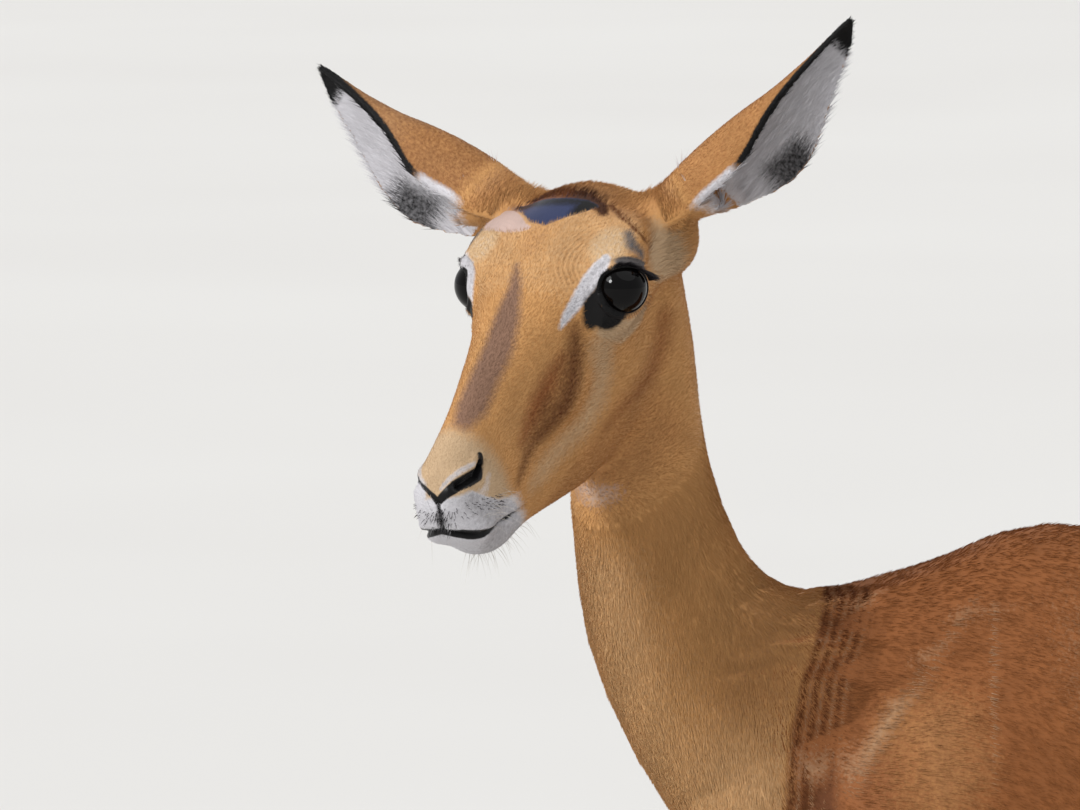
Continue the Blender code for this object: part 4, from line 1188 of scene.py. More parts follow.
def crown_marks(spots):
    """The pale brow, the red crown, and the bare patch on it with dark fur behind."""
    forward, left, up = spots.T
    brow = ramp(up, 0.000, 0.012) * ramp(-forward, -0.030, 0.012) * (1 - ramp(-forward, 0.055, 0.070))
    brow *= ramp(np.abs(left + 0.003), 0.006, 0.014)
    bridge = ramp(up, 0.004, 0.012) * (1 - ramp(forward, 0.01, 0.04))
    crown = ramp(-forward, 0.030, 0.060) * ramp(up, -0.004, 0.008)
    fur = stroke(spots * (1, 1, 0), CROWN_FUR, 0.0035) * ramp(up, 0.0, 0.006)
    slate, pink, behind = bald_crown(spots)
    dark = slate * np.maximum(ramp(left, 0.004, 0.016), 0.8 * behind)
    return {
        "fawn": np.maximum(0.42 * brow, 0.35 * bridge),
        "rufous": np.maximum(0.45 * crown, 0.30 * blot(spots, *FOREHEAD)),
        "brown": 0.90 * fur,
        "pink": pink,
        "slate": slate,
        "black": np.maximum(0.9 * dark, 0.55 * fur * ramp(left, -0.012, 0.010)),
    }


def head_marks(places):
    """Each part of the head's markings, on the head only."""
    spots = in_head(places)
    near = head_share(places) * (1 - ear_share(places))
    parts = (eye_marks(places, spots), muzzle_marks(spots), cheek_marks(spots), crown_marks(spots))
    return [{name: near * share for name, share in part.items()} for part in parts]


EAR_RIDGE = 0.0021  # width per radian of the dark ridges inside an ear, which lie 13 mm apart


def ear_marks(places, normals):
    """White inside with dark ridges and a brown patch, a dark front edge and a black tip; the back of the
    right ear is browner as painted shade.
    """
    share = ear_share(places)
    station, width, hollow = ear_side(places, normals)
    edge = smooth_rows(EAR, 101)[np.clip(station * 100, 0, 100).astype(int)]
    front, back = edge[:, 2], edge[:, 3]
    ahead = np.zeros(len(places), bool)
    for ear in EARS:
        _, _, out = ear_place(places, ear)
        ahead |= (in_head(places)[:, 1] * ear[1] > 0) & (out > 0)
    tip = ramp(station, 0.845, 0.90)
    line = ahead * ramp(width, front - 0.0050, front - 0.0028) * ramp(station, 0.30, 0.42)
    within = hollow * ahead * ramp(width, front - 0.0040, front - 0.0020) * ramp(station, 0.34, 0.44)
    line = np.maximum(line, within)
    patch = hollow * (~ahead) * ramp(station, 0.24, 0.33) * (1 - ramp(station, 0.46, 0.56))
    patch *= ramp(width, back - 0.026, back - 0.010)
    ridges = hollow * (0.5 + 0.5 * np.cos(width / EAR_RIDGE)) * ramp(station, 0.3, 0.45)
    ridges *= 1 - ramp(station, 0.72, 0.85)
    ridges *= 1 - ramp(width, 0.006, 0.016)
    fringe = ahead * (~hollow.astype(bool)) * ramp(width, front - 0.007, front - 0.002)
    fringe *= 1 - ramp(station, 0.32, 0.40)
    return {
        "rufous": 0.45 * share * (1 - hollow),
        "beige": 0.6 * share * (1 - hollow) * (1 - ramp(station, 0.05, 0.22)),
        "white": share * np.maximum(hollow, 0.8 * fringe),
        # painted shade: the back of the right ear only is browner
        "brown": share * np.maximum(0.9 * patch, 0.40 * (1 - hollow) * (in_head(places)[:, 1] < 0)),
        "black": share * np.max([tip, line, 0.70 * patch, 0.30 * ridges], axis=0),
    }


def marks_at(places, normals):
    """Every marking at some places, each from 0 to 1: the strongest of its parts."""
    parts = [coat_marks(places, normals), rump_marks(places), leg_marks(places, normals)]
    parts += [shoulder_marks(places), *head_marks(places), ear_marks(places, normals)]
    found = {name: np.zeros(len(places)) for name, _ in HAIR_COLOURS}
    for part in parts:
        for name, share in part.items():
            found[name] = np.maximum(found[name], share)
    return found


def write_mark(made, name, values):
    layer = made.data.attributes.new(name, "FLOAT", "POINT")
    layer.data.foreach_set("value", values.astype(np.float32))


# ---------------------------------------------------------------- finishes
def linear(code):
    """An sRGB hex colour as linear red, green, blue and alpha."""
    parts = [int(code[i:i + 2], 16) / 255 for i in (1, 3, 5)]
    return (*[c / 12.92 if c <= 0.04045 else ((c + 0.055) / 1.055) ** 2.4 for c in parts], 1.0)


def add(tree, kind, inputs=(), **settings):
    """A node with its settings; each input is a value or another node's output."""
    node = tree.nodes.new("ShaderNode" + kind)
    for key, value in settings.items():
        setattr(node, key, value)
    for key, value in dict(inputs).items():
        if isinstance(value, bpy.types.NodeSocket):
            tree.links.new(value, node.inputs[key])
        else:
            node.inputs[key].default_value = value
    return node


COLOURED = {"data_type": "RGBA"}  # a Mix node's setting to mix colours, on inputs 6 and 7


def new_material(name, **sockets):
    """A Principled surface with fixed values, its tree and its shader."""
    made = bpy.data.materials.new(name)
    made.use_nodes = True
    shader = made.node_tree.nodes["Principled BSDF"]
    for key, value in sockets.items():
        shader.inputs[key.replace("_", " ")].default_value = value
    return made, made.node_tree, shader


HAIR_TAN = "#b58653"
HAIR_COLOURS = (  # laid over the tan one after another
    ("fawn", "#bb9d78"), ("rufous", "#84502a"), ("brown", "#5c3214"), ("beige", "#b39878"),
    ("white", "#c2c0c4"), ("blaze", "#7c5e4c"), ("grey", "#5d5857"), ("pink", "#b0988f"),
    ("slate", "#2c3350"), ("black", "#0b0a0b"),
)
HAIR_WIDTH = 0.0007  # a lock of hairs: one hair, 0.05 mm, is too fine to show
STREAK = 14.0  # how many times longer than wide a lock's streak is


def hair_colour(tree, place):
    """The coat's colour from its markings, with ragged edges the size of a lock."""
    ragged = add(tree, "TexNoise", {"Vector": place, "Scale": 0.35 / HAIR_WIDTH, "Detail": 2.0})
    colour = add(tree, "RGB")
    colour.outputs[0].default_value = linear(HAIR_TAN)
    colour = colour.outputs[0]
    for mark, code in HAIR_COLOURS:
        share = add(tree, "Attribute", attribute_name=mark).outputs["Fac"]
        shifted = add(tree, "Math", {0: ragged.outputs[0], 1: 0.4, 2: share}, operation="MULTIPLY_ADD")
        cut = add(tree, "MapRange", {0: shifted.outputs[0], 1: 0.42, 2: 0.98}, clamp=True)
        laid = add(tree, "Mix", {0: cut.outputs[0], 6: colour, 7: linear(code)}, **COLOURED)
        colour = laid.outputs[2]
    return colour


def skin_material():
    """Short sleek hair lying flat: satin streaks along its lie; bare skin is smoother and shines."""
    made, tree, shader = new_material(
        "sleek_coat_over_skin", Roughness=0.62, IOR=1.5, Specular_IOR_Level=0.18,
        Sheen_Weight=0.04, Sheen_Roughness=0.45,
    )
    place = add(tree, "TexCoord").outputs["Object"]
    lie = add(tree, "Attribute", attribute_name="streak_place").outputs["Vector"]
    streak = add(tree, "TexNoise", {"Vector": lie, "Scale": 1.0, "Detail": 3.0, "Roughness": 0.6})
    mottle = add(tree, "TexNoise", {"Vector": place, "Scale": 55.0, "Detail": 3.0})
    grain = add(tree, "Math", {0: streak.outputs[0], 1: 0.75, 2: mottle.outputs[0]}, operation="MULTIPLY_ADD")
    value = add(tree, "MapRange", {0: grain.outputs[0], 1: 0.55, 2: 1.2, 3: 0.90, 4: 1.22})
    colour = add(tree, "HueSaturation", {"Color": hair_colour(tree, place), "Value": value.outputs[0]})
    tree.links.new(colour.outputs[0], shader.inputs["Base Color"])
    bare = add(tree, "Attribute", attribute_name="bare").outputs["Fac"]
    gloss = add(tree, "MapRange", {0: bare, 1: 0.0, 2: 1.0, 3: 0.62, 4: 0.33})
    tree.links.new(gloss.outputs[0], shader.inputs["Roughness"])
    depth = add(tree, "MapRange", {0: bare, 1: 0.0, 2: 1.0, 3: 0.55, 4: 0.12})
    bump = add(tree, "Bump", {"Strength": depth.outputs[0], "Distance": 0.0006, "Height": streak.outputs[0]})
    tree.links.new(bump.outputs[0], shader.inputs["Normal"])
    return made


def tuft_material():
    """Locks of guard hair: each has its own tone, darker at the root and bleached at the tip."""
    made, tree, shader = new_material(
        "guard_hair", Roughness=0.60, IOR=1.5, Specular_IOR_Level=0.11,
        Sheen_Weight=0.03, Sheen_Roughness=0.45,
    )
    place = add(tree, "TexCoord").outputs["Object"]
    tone = add(tree, "Attribute", attribute_name="tone").outputs["Fac"]
    along = add(tree, "Attribute", attribute_name="along").outputs["Fac"]
    grade = add(tree, "Math", {0: along, 1: 0.11, 2: tone}, operation="MULTIPLY_ADD")
    colour = add(tree, "HueSaturation", {"Color": hair_colour(tree, place), "Value": grade.outputs[0]})
    tree.links.new(colour.outputs[0], shader.inputs["Base Color"])
    return made


EYE_RINGS = (  # quarter turns from the eye's axis, and the colour there
    (0.0, "#030203"), (0.56, "#040303"), (0.65, "#0a0706"), (0.68, "#17100d"), (0.70, "#0c0807"),
    (0.80, "#050404"),
)


def eye_material():
    """A wet cornea over a nearly black iris: one sharp highlight, and a thin brown rim."""
    made, tree, shader = new_material("wet_cornea", Roughness=0.04, IOR=1.336, Specular_IOR_Level=0.30)
    turn = add(tree, "Attribute", attribute_name="turn").outputs["Fac"]
    rim = add(tree, "ValToRGB", {0: turn})
    stops = rim.color_ramp.elements
    for at, code in EYE_RINGS:
        stop = stops[0] if at == 0 else stops.new(at)
        stop.position, stop.color = at, linear(code)
    stops.remove(stops[-1])
    tree.links.new(rim.outputs[0], shader.inputs["Base Color"])
    return made


def wet_skin_material():
    """Bare black skin of the lids' edge, wet from the tear film: dark, with a soft gleam."""
    made, tree, shader = new_material("wet_black_skin", Roughness=0.42, IOR=1.4, Specular_IOR_Level=0.25)
    place = add(tree, "TexCoord").outputs["Object"]
    pores = add(tree, "TexNoise", {"Vector": place, "Scale": 900.0, "Detail": 2.0})
    tone = add(tree, "MapRange", {0: pores.outputs[0], 1: 0.3, 2: 0.7, 3: 0.6, 4: 1.5})
    colour = add(tree, "HueSaturation", {"Color": linear("#0f0c0d"), "Value": tone.outputs[0]})
    tree.links.new(colour.outputs[0], shader.inputs["Base Color"])
    bump = add(tree, "Bump", {"Strength": 0.25, "Distance": 0.0003, "Height": pores.outputs[0]})
    tree.links.new(bump.outputs[0], shader.inputs["Normal"])
    return made


def lash_material():
    """Coarse black hair, smooth enough to catch a line of light."""
    made, tree, shader = new_material("coarse_black_hair", Roughness=0.40, IOR=1.55)
    along = add(tree, "Attribute", attribute_name="along").outputs["Fac"]
    colour = add(tree, "Mix", {0: along, 6: linear("#0d0b0d"), 7: linear("#221c20")}, **COLOURED)
    tree.links.new(colour.outputs[2], shader.inputs["Base Color"])
    return made


def whisker_material():
    """Pale stiff hair, a little clear towards the tip."""
    made, tree, shader = new_material("pale_whisker", Roughness=0.45, IOR=1.55)
    along = add(tree, "Attribute", attribute_name="along").outputs["Fac"]
    colour = add(tree, "Mix", {0: along, 6: linear("#a39c94"), 7: linear("#d8d2c8")}, **COLOURED)
    tree.links.new(colour.outputs[2], shader.inputs["Base Color"])
    return made


HORN_GROWTH = 0.0016  # between growth rings of a hoof


def horn_material():
    """Keratin horn, worn satin: level growth rings, fine upright tubules and pale scuffs near the ground."""
    made, tree, shader = new_material("black_hoof_horn", Roughness=0.42, IOR=1.55)
    place = add(tree, "TexCoord").outputs["Object"]
    height = add(tree, "SeparateXYZ", {0: place}).outputs["Z"]
    drift = add(tree, "TexNoise", {"Vector": place, "Scale": 60.0, "Detail": 2.0})
    phase = add(tree, "Math", {0: drift.outputs[0], 1: 0.004, 2: height}, operation="MULTIPLY_ADD")
    rings = add(tree, "Math", {0: phase.outputs[0], 1: 2 * math.pi / HORN_GROWTH}, operation="MULTIPLY")
    wave = add(tree, "Math", {0: rings.outputs[0]}, operation="SINE")
    upright = add(tree, "Mapping", {"Vector": place, "Scale": (1500.0, 1500.0, 60.0)})
    tubules = add(tree, "TexNoise", {"Vector": upright.outputs[0], "Scale": 1.0, "Detail": 2.0})
    both = add(tree, "Math", {0: wave.outputs[0], 1: 0.35, 2: tubules.outputs[0]}, operation="MULTIPLY_ADD")
    low = add(tree, "MapRange", {0: height, 1: 0.0, 2: 0.012, 3: 0.55, 4: 0.0})
    scuff = add(tree, "Math", {0: low.outputs[0], 1: drift.outputs[0]}, operation="MULTIPLY")
    dark = add(tree, "Mix", {0: both.outputs[0], 6: linear("#15120f"), 7: linear("#2c2621")}, **COLOURED)
    colour = add(tree, "Mix", {0: scuff.outputs[0], 6: dark.outputs[2], 7: linear("#6b6055")}, **COLOURED)
    tree.links.new(colour.outputs[2], shader.inputs["Base Color"])
    rough = add(tree, "MapRange", {0: both.outputs[0], 1: 0.2, 2: 1.0, 3: 0.34, 4: 0.55})
    tree.links.new(rough.outputs[0], shader.inputs["Roughness"])
    bump = add(tree, "Bump", {"Strength": 0.5, "Distance": 0.0004, "Height": both.outputs[0]})
    tree.links.new(bump.outputs[0], shader.inputs["Normal"])
    return made


def floor_material():
    """Matt painted studio floor."""
    made, tree, shader = new_material("matt_floor_paint", Roughness=0.9)
    place = add(tree, "TexCoord").outputs["Object"]
    cloud = add(tree, "TexNoise", {"Vector": place, "Scale": 0.6, "Detail": 2.0})
    colour = add(tree, "Mix", {0: cloud.outputs[0], 6: linear("#d3d1ce"), 7: linear("#dad9d6")}, **COLOURED)
    tree.links.new(colour.outputs[2], shader.inputs["Base Color"])
    return made


# ---------------------------------------------------------------- the lie of the coat
REGIONS = ("trunk", "neck", "head", "ears", "legs", "tail")
NECK_END = ((0.60, 0.70, 0.80, 0.86), (-0.355, -0.337, -0.298, -0.262))  # height, y


def neck_share(places):
    """1 in the neck, forward of the shoulder, and 0 in the trunk."""
    _, y, z = places.T
    line = np.interp(z, *NECK_END)
    share = np.maximum(ramp(line - y, -0.03, 0.03), ramp(z, 0.835, 0.865) * (y < -0.2))
    return share * (z > 0.55)


def region_of(places):
    """The number of the region in which each place lies."""
    found = np.zeros(len(places), int)
    for name, inside in (
        ("neck", neck_share(places) > 0.5),
        ("legs", leg_share(places) > 0.5),
        ("tail", tail_share(places) > 0.5),
        ("head", head_share(places) > 0.5),
        ("ears", ear_share(places) > 0.4),
    ):
        found[inside] = REGIONS.index(name)
    return found


def ear_course(places):
    """Towards the tip of the nearer ear."""
    course = np.zeros_like(places)
    for ear in EARS:
        _, along, _, _ = ear_axes(*ear[1:4])
        mine = in_head(places)[:, 1] * ear[1] > 0
        course[mine] = np.array(along.normalized())
    return course


def lie_of(places, normals):
    """The way the hair points at each place: back from the nose, down the neck and limbs."""
    ahead = HEAD_AXES[:, 0]
    course = np.tile((0.0, 1.0, -0.42), (len(places), 1))
    blends = (
        (neck_share(places), (0.0, 0.30, -1.0)),
        (leg_share(places), (0.0, 0.05, -1.0)),
        (tail_share(places), (0.0, 0.0, -1.0)),
        (head_share(places), tuple(-ahead - (0, 0, 0.25))),
    )
    for share, way in blends:
        course += share[:, None] * (np.array(way) - course)
    course += ear_share(places)[:, None] * (ear_course(places) - course)
    swirl = 0.16 * np.sin(places @ (31.0, 23.0, 17.0)) + 0.10 * np.sin(places @ (-47.0, 61.0, 39.0))
    course = course + swirl[:, None] * np.cross(normals, course)
    course -= normals * (course * normals).sum(1)[:, None]
    return row_unit(course)


EAR_REACH = 0.18  # from an ear's root to its tip, roughly


def streak_place(places):
    """Coordinates in lock widths, long the way the hair lies."""
    region = region_of(places)
    scale = 1 / HAIR_WIDTH
    found = places * scale / (1, STREAK, 1)
    spots = in_head(places) * scale / (STREAK, 1, 1)
    down = places * scale / (1, 1, STREAK)
    ears = np.zeros_like(places)
    for ear in EARS:
        here, across, out = ear_place(places, ear)
        mine = in_head(places)[:, 1] * ear[1] > 0
        ears[mine] = np.stack([here * EAR_REACH / STREAK, across, out], axis=1)[mine] / HAIR_WIDTH
    for names, lying in ((("head",), spots), (("ears",), ears), (("neck", "legs", "tail"), down)):
        inside = np.isin(region, [REGIONS.index(name) for name in names])
        found = np.where(inside[:, None], lying, found)
    return found


# ---------------------------------------------------------------- the coat's unwrap
# Middle lines to unwrap round: heights, and y there.
FORELEG_MIDDLE = ((0.0, 0.35, 0.56), (-0.23, -0.225, -0.22))
HIND_LEG_MIDDLE = ((0.0, 0.30, 0.56), (0.325, 0.33, 0.27))
NECK_MIDDLE = ((0.60, 0.80, 1.00), (-0.30, -0.40, -0.435))


def unwrap(places, normals, region):
    """Each place on the opened-out skin of its own region, from 0 to 1 both ways."""
    x, y, z = places.T
    side = x > 0
    if region == "head":
        forward, left, up = in_head(places).T
        return np.stack([angle_share(left, up + 0.035), (forward + 0.12) / 0.31], axis=1)
    if region == "ears":
        station, width, hollow = ear_side(places, normals)
        around = np.clip((width + 0.03) / 0.09, 0, 1)
        return np.stack([(around + hollow + 2 * side) / 4, np.clip(station / 1.05, 0, 1)], axis=1)
    if region == "legs":
        centre = np.where(y < 0, np.interp(z, *FORELEG_MIDDLE), np.interp(z, *HIND_LEG_MIDDLE))
        quarter = 2 * side + (y > 0)
        return np.stack([(angle_share(np.abs(x) - LEG_MIDDLE, y - centre) + quarter) / 4, z / 0.60], axis=1)
    if region == "neck":
        return np.stack([angle_share(x, np.interp(z, *NECK_MIDDLE) - y), (z - 0.52) / 0.54], axis=1)
    if region == "tail":
        return np.stack([angle_share(x, y - 0.42), (z - 0.49) / 0.33], axis=1)
    return np.stack([angle_share(x, z - 0.67), (y + 0.42) / 0.86], axis=1)


def angle_share(side, up):
    """The angle round from straight down, as a share of a whole turn."""
    return np.arctan2(side, up) / (2 * math.pi) + 0.5


# ---------------------------------------------------------------- tufts
PATCH = 0.003  # width of a tuft's patch on its map
ROOT_DEPTH = 0.0003  # of a tuft's root under the skin
MOST_TUFTS = 47000  # in one piece, at four triangles each
SEED = 7  # of the first region's strewing; each region after it has the next one
COAT = (  # region, tufts, length, width
    ("head", 86000, 0.0034, 0.00040),
    ("ears", 36000, 0.0052, 0.00045),
    ("neck", 104000, 0.0062, 0.00058),
    ("trunk", 108000, 0.0085, 0.00074),
    ("legs", 34000, 0.0070, 0.00080),
    ("tail", 5500, 0.0300, 0.00160),
)


def bare_share(places):
    """1 on bare skin: lids' edges, the tear hollow, nostrils, lips' edges and the bald crown."""
    spots = in_head(places)
    folded = both_sides(spots)
    lid, _, _ = nearest_lid(places)
    bald, pink, _ = bald_crown(spots)
    nostrils = np.maximum(stroke(spots, NOSTRIL, 0.0008), stroke(spots, RIGHT_NOSTRIL, 0.0008))
    wet = np.maximum(0.5 * (1 - ramp(lid, 1.10, 1.18)), 0.7 * stroke(folded, TEAR, 0.001))
    found = np.max([wet, nostrils, stroke(folded, MOUTH, 0.0006), bald, 0.75 * pink], axis=0)
    return head_share(places) * (1 - ear_share(places)) * found


def density(places, region):
    """How thickly tufts stand at a place, beside the rest of its region."""
    _, y, z = places.T
    if region == "head":
        return (1 + 0.7 * muzzle_share(places)) * (1 - ramp(bare_share(places), 0.3, 0.7))
    if region == "trunk":
        return 1 + 1.3 * ramp(-y, 0.05, 0.16) + 0.5 * ramp(y, 0.32, 0.36)
    if region == "legs":
        return 1 - 0.4 * ramp(z, 0.25, 0.50)
    return np.ones(len(places))


class Ground:
    """The skin's triangles, ready to take roots."""

    def __init__(self, skin, smooth):
        skin.data.calc_loop_triangles()
        self.corners = mesh_array(skin.data.loop_triangles, "vertices", 3, np.int32)
        self.places, self.normals, self.smooth = places_of(skin), normals_of(skin), smooth
        spread = self.places[self.corners]
        self.middles = smooth[self.corners].mean(axis=1)
        square = np.cross(spread[:, 1] - spread[:, 0], spread[:, 2] - spread[:, 0])
        self.areas = np.linalg.norm(square, axis=1) / 2
        self.flat = row_unit(square)
        self.regions = region_of(self.middles)

    def roots(self, region, count, rng):
        """Places and normals of evenly strewn roots in one region, and their places before the folds."""
        number = REGIONS.index(region)
        weight = self.areas * (self.regions == number)
        mine = weight > 0
        weight[mine] *= density(self.middles[mine], region)
        reach = np.cumsum(weight)
        picks = np.searchsorted(reach, (np.arange(count) + rng.random(count)) / count * reach[-1])
        picks = np.minimum(picks, len(weight) - 1)
        a, b = rng.random((2, count))
        over = a + b > 1
        a, b = np.where(over, 1 - a, a), np.where(over, 1 - b, b)
        shares = np.stack([1 - a - b, a, b], axis=1)[:, :, None]
        places, smooth = ((at[self.corners[picks]] * shares).sum(axis=1) for at in (self.places, self.smooth))
        normals = row_unit((self.normals[self.corners[picks]] * shares).sum(axis=1) + self.flat[picks])
        return places, normals, smooth


TEMPLE_TUFT = ((-0.062, 0.050, -0.010), (0.022, 0.020, 0.026), 0.5)  # centre, radii, softness


def length_share(places, normals, region, rng):
    """Each tuft's length beside its region's usual one."""
    _, y, z = places.T
    usual = 0.75 + 0.5 * rng.random(len(places))
    if region == "head":
        spots = in_head(places)
        forward, left, up = spots.T
        crest = ramp(-forward, 0.056, 0.064) * ramp(up, -0.02, 0.0) * (np.abs(left) < 0.045)
        temple = blot(both_sides(spots), *TEMPLE_TUFT)
        longer = 1 - 0.45 * muzzle_share(places) + 1.5 * crest + 1.3 * temple
        return usual * longer * (1 - 0.45 * eye_share(places))
    if region == "ears":
        station, _, hollow = ear_side(places, normals)
        return usual * (0.65 + 1.5 * hollow * (1 - ramp(station, 0.75, 0.95)))
    if region == "trunk":
        return usual * (1 + 0.5 * ramp(y, 0.33, 0.38) - 0.3 * ramp(-y, 0.05, 0.20))
    if region == "legs":
        gland = gland_share(places, (0.018, 0.022, 0.030))
        return usual * (1 - 0.45 * ramp(-z, -0.25, -0.05) + 1.7 * gland * (y > 0))
    return usual


def thin_mesh(name, points, faces, layers):
    """A mesh of triangles from arrays, with its point layers."""
    mesh = bpy.data.meshes.new(name)
    mesh.vertices.add(len(points))
    mesh.vertices.foreach_set("co", points.astype(np.float32).ravel())
    mesh.loops.add(faces.size)
    mesh.loops.foreach_set("vertex_index", faces.astype(np.int32).ravel())
    mesh.polygons.add(len(faces))
    mesh.polygons.foreach_set("loop_start", np.arange(0, faces.size, 3, dtype=np.int32))
    mesh.update(calc_edges=True)
    mesh.shade_flat()
    made = bpy.data.objects.new(name, mesh)
    bpy.context.scene.collection.objects.link(made)
    for key, values in layers.items():
        write_mark(made, key, values)
    return made


TUFT_FACES = np.array([(0, 1, 3), (1, 2, 3), (2, 0, 3), (0, 2, 1)])
TUFT_PATCH = np.array([(-1, -1), (1, -1), (0, -1), (0, 1)])  # its corners on the map, in half patches
FOLD_SHORTER = 0.55  # of the hair's length, where the loose skin is pleated
GRIZZLE = 0.12  # of the red saddle's tufts are darker


def tuft_points(places, normals, region, length, width, rng):
    """Four corners of each tuft: a flat top that lies over the skin, a keel below it, and the tip."""
    count = len(places)
    lie = lie_of(places, normals)
    aside = np.cross(lie, normals)
    turn = rng.normal(0, 0.13, count)[:, None]
    course = lie * np.cos(turn) + aside * np.sin(turn)
    across = aside * np.cos(turn) - lie * np.sin(turn)
    roll = rng.normal(0, 0.09, count)[:, None]
    level = across * np.cos(roll) + normals * np.sin(roll)
    share = length_share(places, normals, region, rng) * (1 - FOLD_SHORTER * fold_share(places))
    lengths = (length * share)[:, None]
    widths = (width * (0.7 + 0.6 * rng.random(count)) * np.minimum(1, 0.4 + 0.6 * share))[:, None]
    stand = coat_depth(places) * (0.35 + 0.45 * rng.random(count)) * np.maximum(1, 0.8 * share)
    stand = np.minimum(stand, 0.45 * lengths[:, 0])[:, None]
    root = places - normals * ROOT_DEPTH
    return np.stack([
        root + level * widths / 2,
        root - level * widths / 2,
        root - normals * (0.0002 + 0.25 * widths) + course * 0.15 * lengths,
        root + course * lengths + normals * (stand + ROOT_DEPTH),
    ], axis=1)


def tuft_piece(name, places, normals, smooth, region, length, width, rng):
    """One object of many tufts, each closed, with its markings, its tone and its patch of the map."""
    count = len(places)
    points = tuft_points(places, normals, region, length, width, rng)
    faces = (np.arange(count) * 4)[:, None, None] + TUFT_FACES
    marks = marks_at(smooth, normals)
    tone = 0.86 + 0.12 * rng.random(count) + 0.03 * np.sin(places @ (90.0, 130.0, -70.0))
    grizzled = marks["rufous"] * (1 - head_share(places)) * ramp(places[:, 2], 0.66, 0.80)
    tone = np.where(rng.random(count) < GRIZZLE * grizzled, 0.76 + 0.12 * rng.random(count), tone)
    layers = {key: np.repeat(values, 4) for key, values in marks.items()}
    layers["tone"] = np.repeat(tone, 4)
    layers["along"] = np.tile((0.0, 0.0, 0.0, 1.0), count)
    made = thin_mesh(name, points.reshape(-1, 3), faces.reshape(-1, 3), layers)
    at = np.clip(unwrap(places, normals, region), 0, 1) * (1 - 2 * PATCH) + PATCH
    spread = (at[:, None, :] + PATCH / 2 * TUFT_PATCH)[:, TUFT_FACES]
    layer = made.data.uv_layers.new(name="OFBake")
    layer.uv.foreach_set("vector", spread.reshape(-1).astype(np.float32))
    return made


def grow_coat(skin, smooth):
    """The coat's pieces, region by region."""
    ground = Ground(skin, smooth)
    made = []
    for region, count, length, width in COAT:
        rng = np.random.default_rng(REGIONS.index(region) + SEED)
        places, normals, smooth = ground.roots(region, count, rng)
        pieces = math.ceil(count / MOST_TUFTS)
        for i in range(pieces):
            some = slice(i * count // pieces, (i + 1) * count // pieces)
            ends = places[some], normals[some], smooth[some]
            made.append(tuft_piece(f"coat_{region}_{i + 1}", *ends, region, length, width, rng))
    return made


# ---------------------------------------------------------------- eyes, lids and lashes
CORNEA_RISE = 0.0005  # of the cornea's dome over the eyeball
CORNEA = math.radians(72)  # from the eye's axis out to the cornea's edge


def eyeball(name, sign):
    """A ball with its pole outward, domed at the cornea, that knows the angle from its axis."""
    work = bmesh.new()
    bmesh.ops.create_uvsphere(work, u_segments=72, v_segments=64, radius=EYE_RADIUS)
    turns = []
    for vert in work.verts:
        turn = math.acos(max(-1.0, min(1.0, vert.co.z / EYE_RADIUS)))
        dome = max(0.0, 1 - (turn / CORNEA) ** 2)
        vert.co *= 1 + CORNEA_RISE / EYE_RADIUS * dome
        turns.append(turn / (math.pi / 2))
    bmesh.ops.transform(work, matrix=eye_frame(sign), verts=work.verts)
    made = new_object(name, work)
    write_mark(made, "turn", np.array(turns))
    made.data.shade_smooth()
    return made


THIRDS = (0, 2.094, 4.189)  # of a turn, round a hair


def hair_bundle(name, strands):
    """Tapering three-sided hairs through lists of points, as one mesh; strands are (points, radius)."""
    points, faces, along = [], [], []
    for course, radius in strands:
        course = np.array(course)
        start = len(points)
        steps = np.gradient(course, axis=0)
        side = row_unit(np.cross(steps, steps[0] + (0.31, 0.17, 0.93)))
        other = row_unit(np.cross(steps, side))
        last = len(course) - 1
        for k in range(last):
            width = radius * (1 - 0.8 * k / last)
            for turn in THIRDS:
                points.append(course[k] + width * (side[k] * math.cos(turn) + other[k] * math.sin(turn)))
                along.append(k / last)
        points.append(course[-1])
        along.append(1.0)
        faces.append((start, start + 2, start + 1))
        for k in range(last - 1):
            for turn in range(3):
                a, b = start + 3 * k + turn, start + 3 * k + (turn + 1) % 3
                faces += [(a, b, b + 3), (a, b + 3, a + 3)]
        tip = start + 3 * last
        faces += [(start + 3 * (last - 1) + t, start + 3 * (last - 1) + (t + 1) % 3, tip) for t in range(3)]
    return thin_mesh(name, np.array(points), np.array(faces), {"along": np.array(along)})


def rim_point(angle, grow, lift):
    """A point on the lids' edge, in the eye's own axes; the angle runs from the inner corner over the top."""
    along, across = LID_OPENING[0] * grow * math.cos(angle), LID_OPENING[1] * grow * math.sin(angle)
    across *= 1 - (1 - UPPER_LID) * float(ramp(across, 0.0, 0.006))
    radius = EYE_RADIUS + lift
    return np.array((along, across, math.sqrt(max(1e-8, radius**2 - along**2 - across**2))))


RIM_AT = 1.03  # where the wet edge of the lids lies, in openings
RIM_LIFT = 0.0003  # of its middle off the eyeball
RIM_STEPS, RIM_SIDES = 72, 10


def lid_rim(name, sign):
    """The bare wet edge round the opening of the lids, thicker above."""
    frame = eye_frame(sign)
    rings = []
    for angle in np.linspace(0, 2 * math.pi, RIM_STEPS, endpoint=False):
        middle = rim_point(angle, RIM_AT, RIM_LIFT)
        out = middle / np.linalg.norm(middle)
        ahead = rim_point(angle + 0.02, RIM_AT, RIM_LIFT) - middle
        side = np.cross(out, ahead / np.linalg.norm(ahead))
        thick = 0.00050 + 0.0003 * max(0.0, math.sin(angle))
        rings.append([frame @ Vector(middle + thick * (out * math.cos(t) + side * math.sin(t)))
                      for t in np.linspace(0, 2 * math.pi, RIM_SIDES, endpoint=False)])
    work = bmesh.new()
    rows = [[work.verts.new(point) for point in ring] for ring in rings]
    for here, there in zip(rows, rows[1:] + rows[:1]):
        for k in range(RIM_SIDES):
            n = (k + 1) % RIM_SIDES
            work.faces.new((here[k], here[n], there[n], there[k]))
    made = new_object(name, work)
    made.data.shade_smooth()
    return made


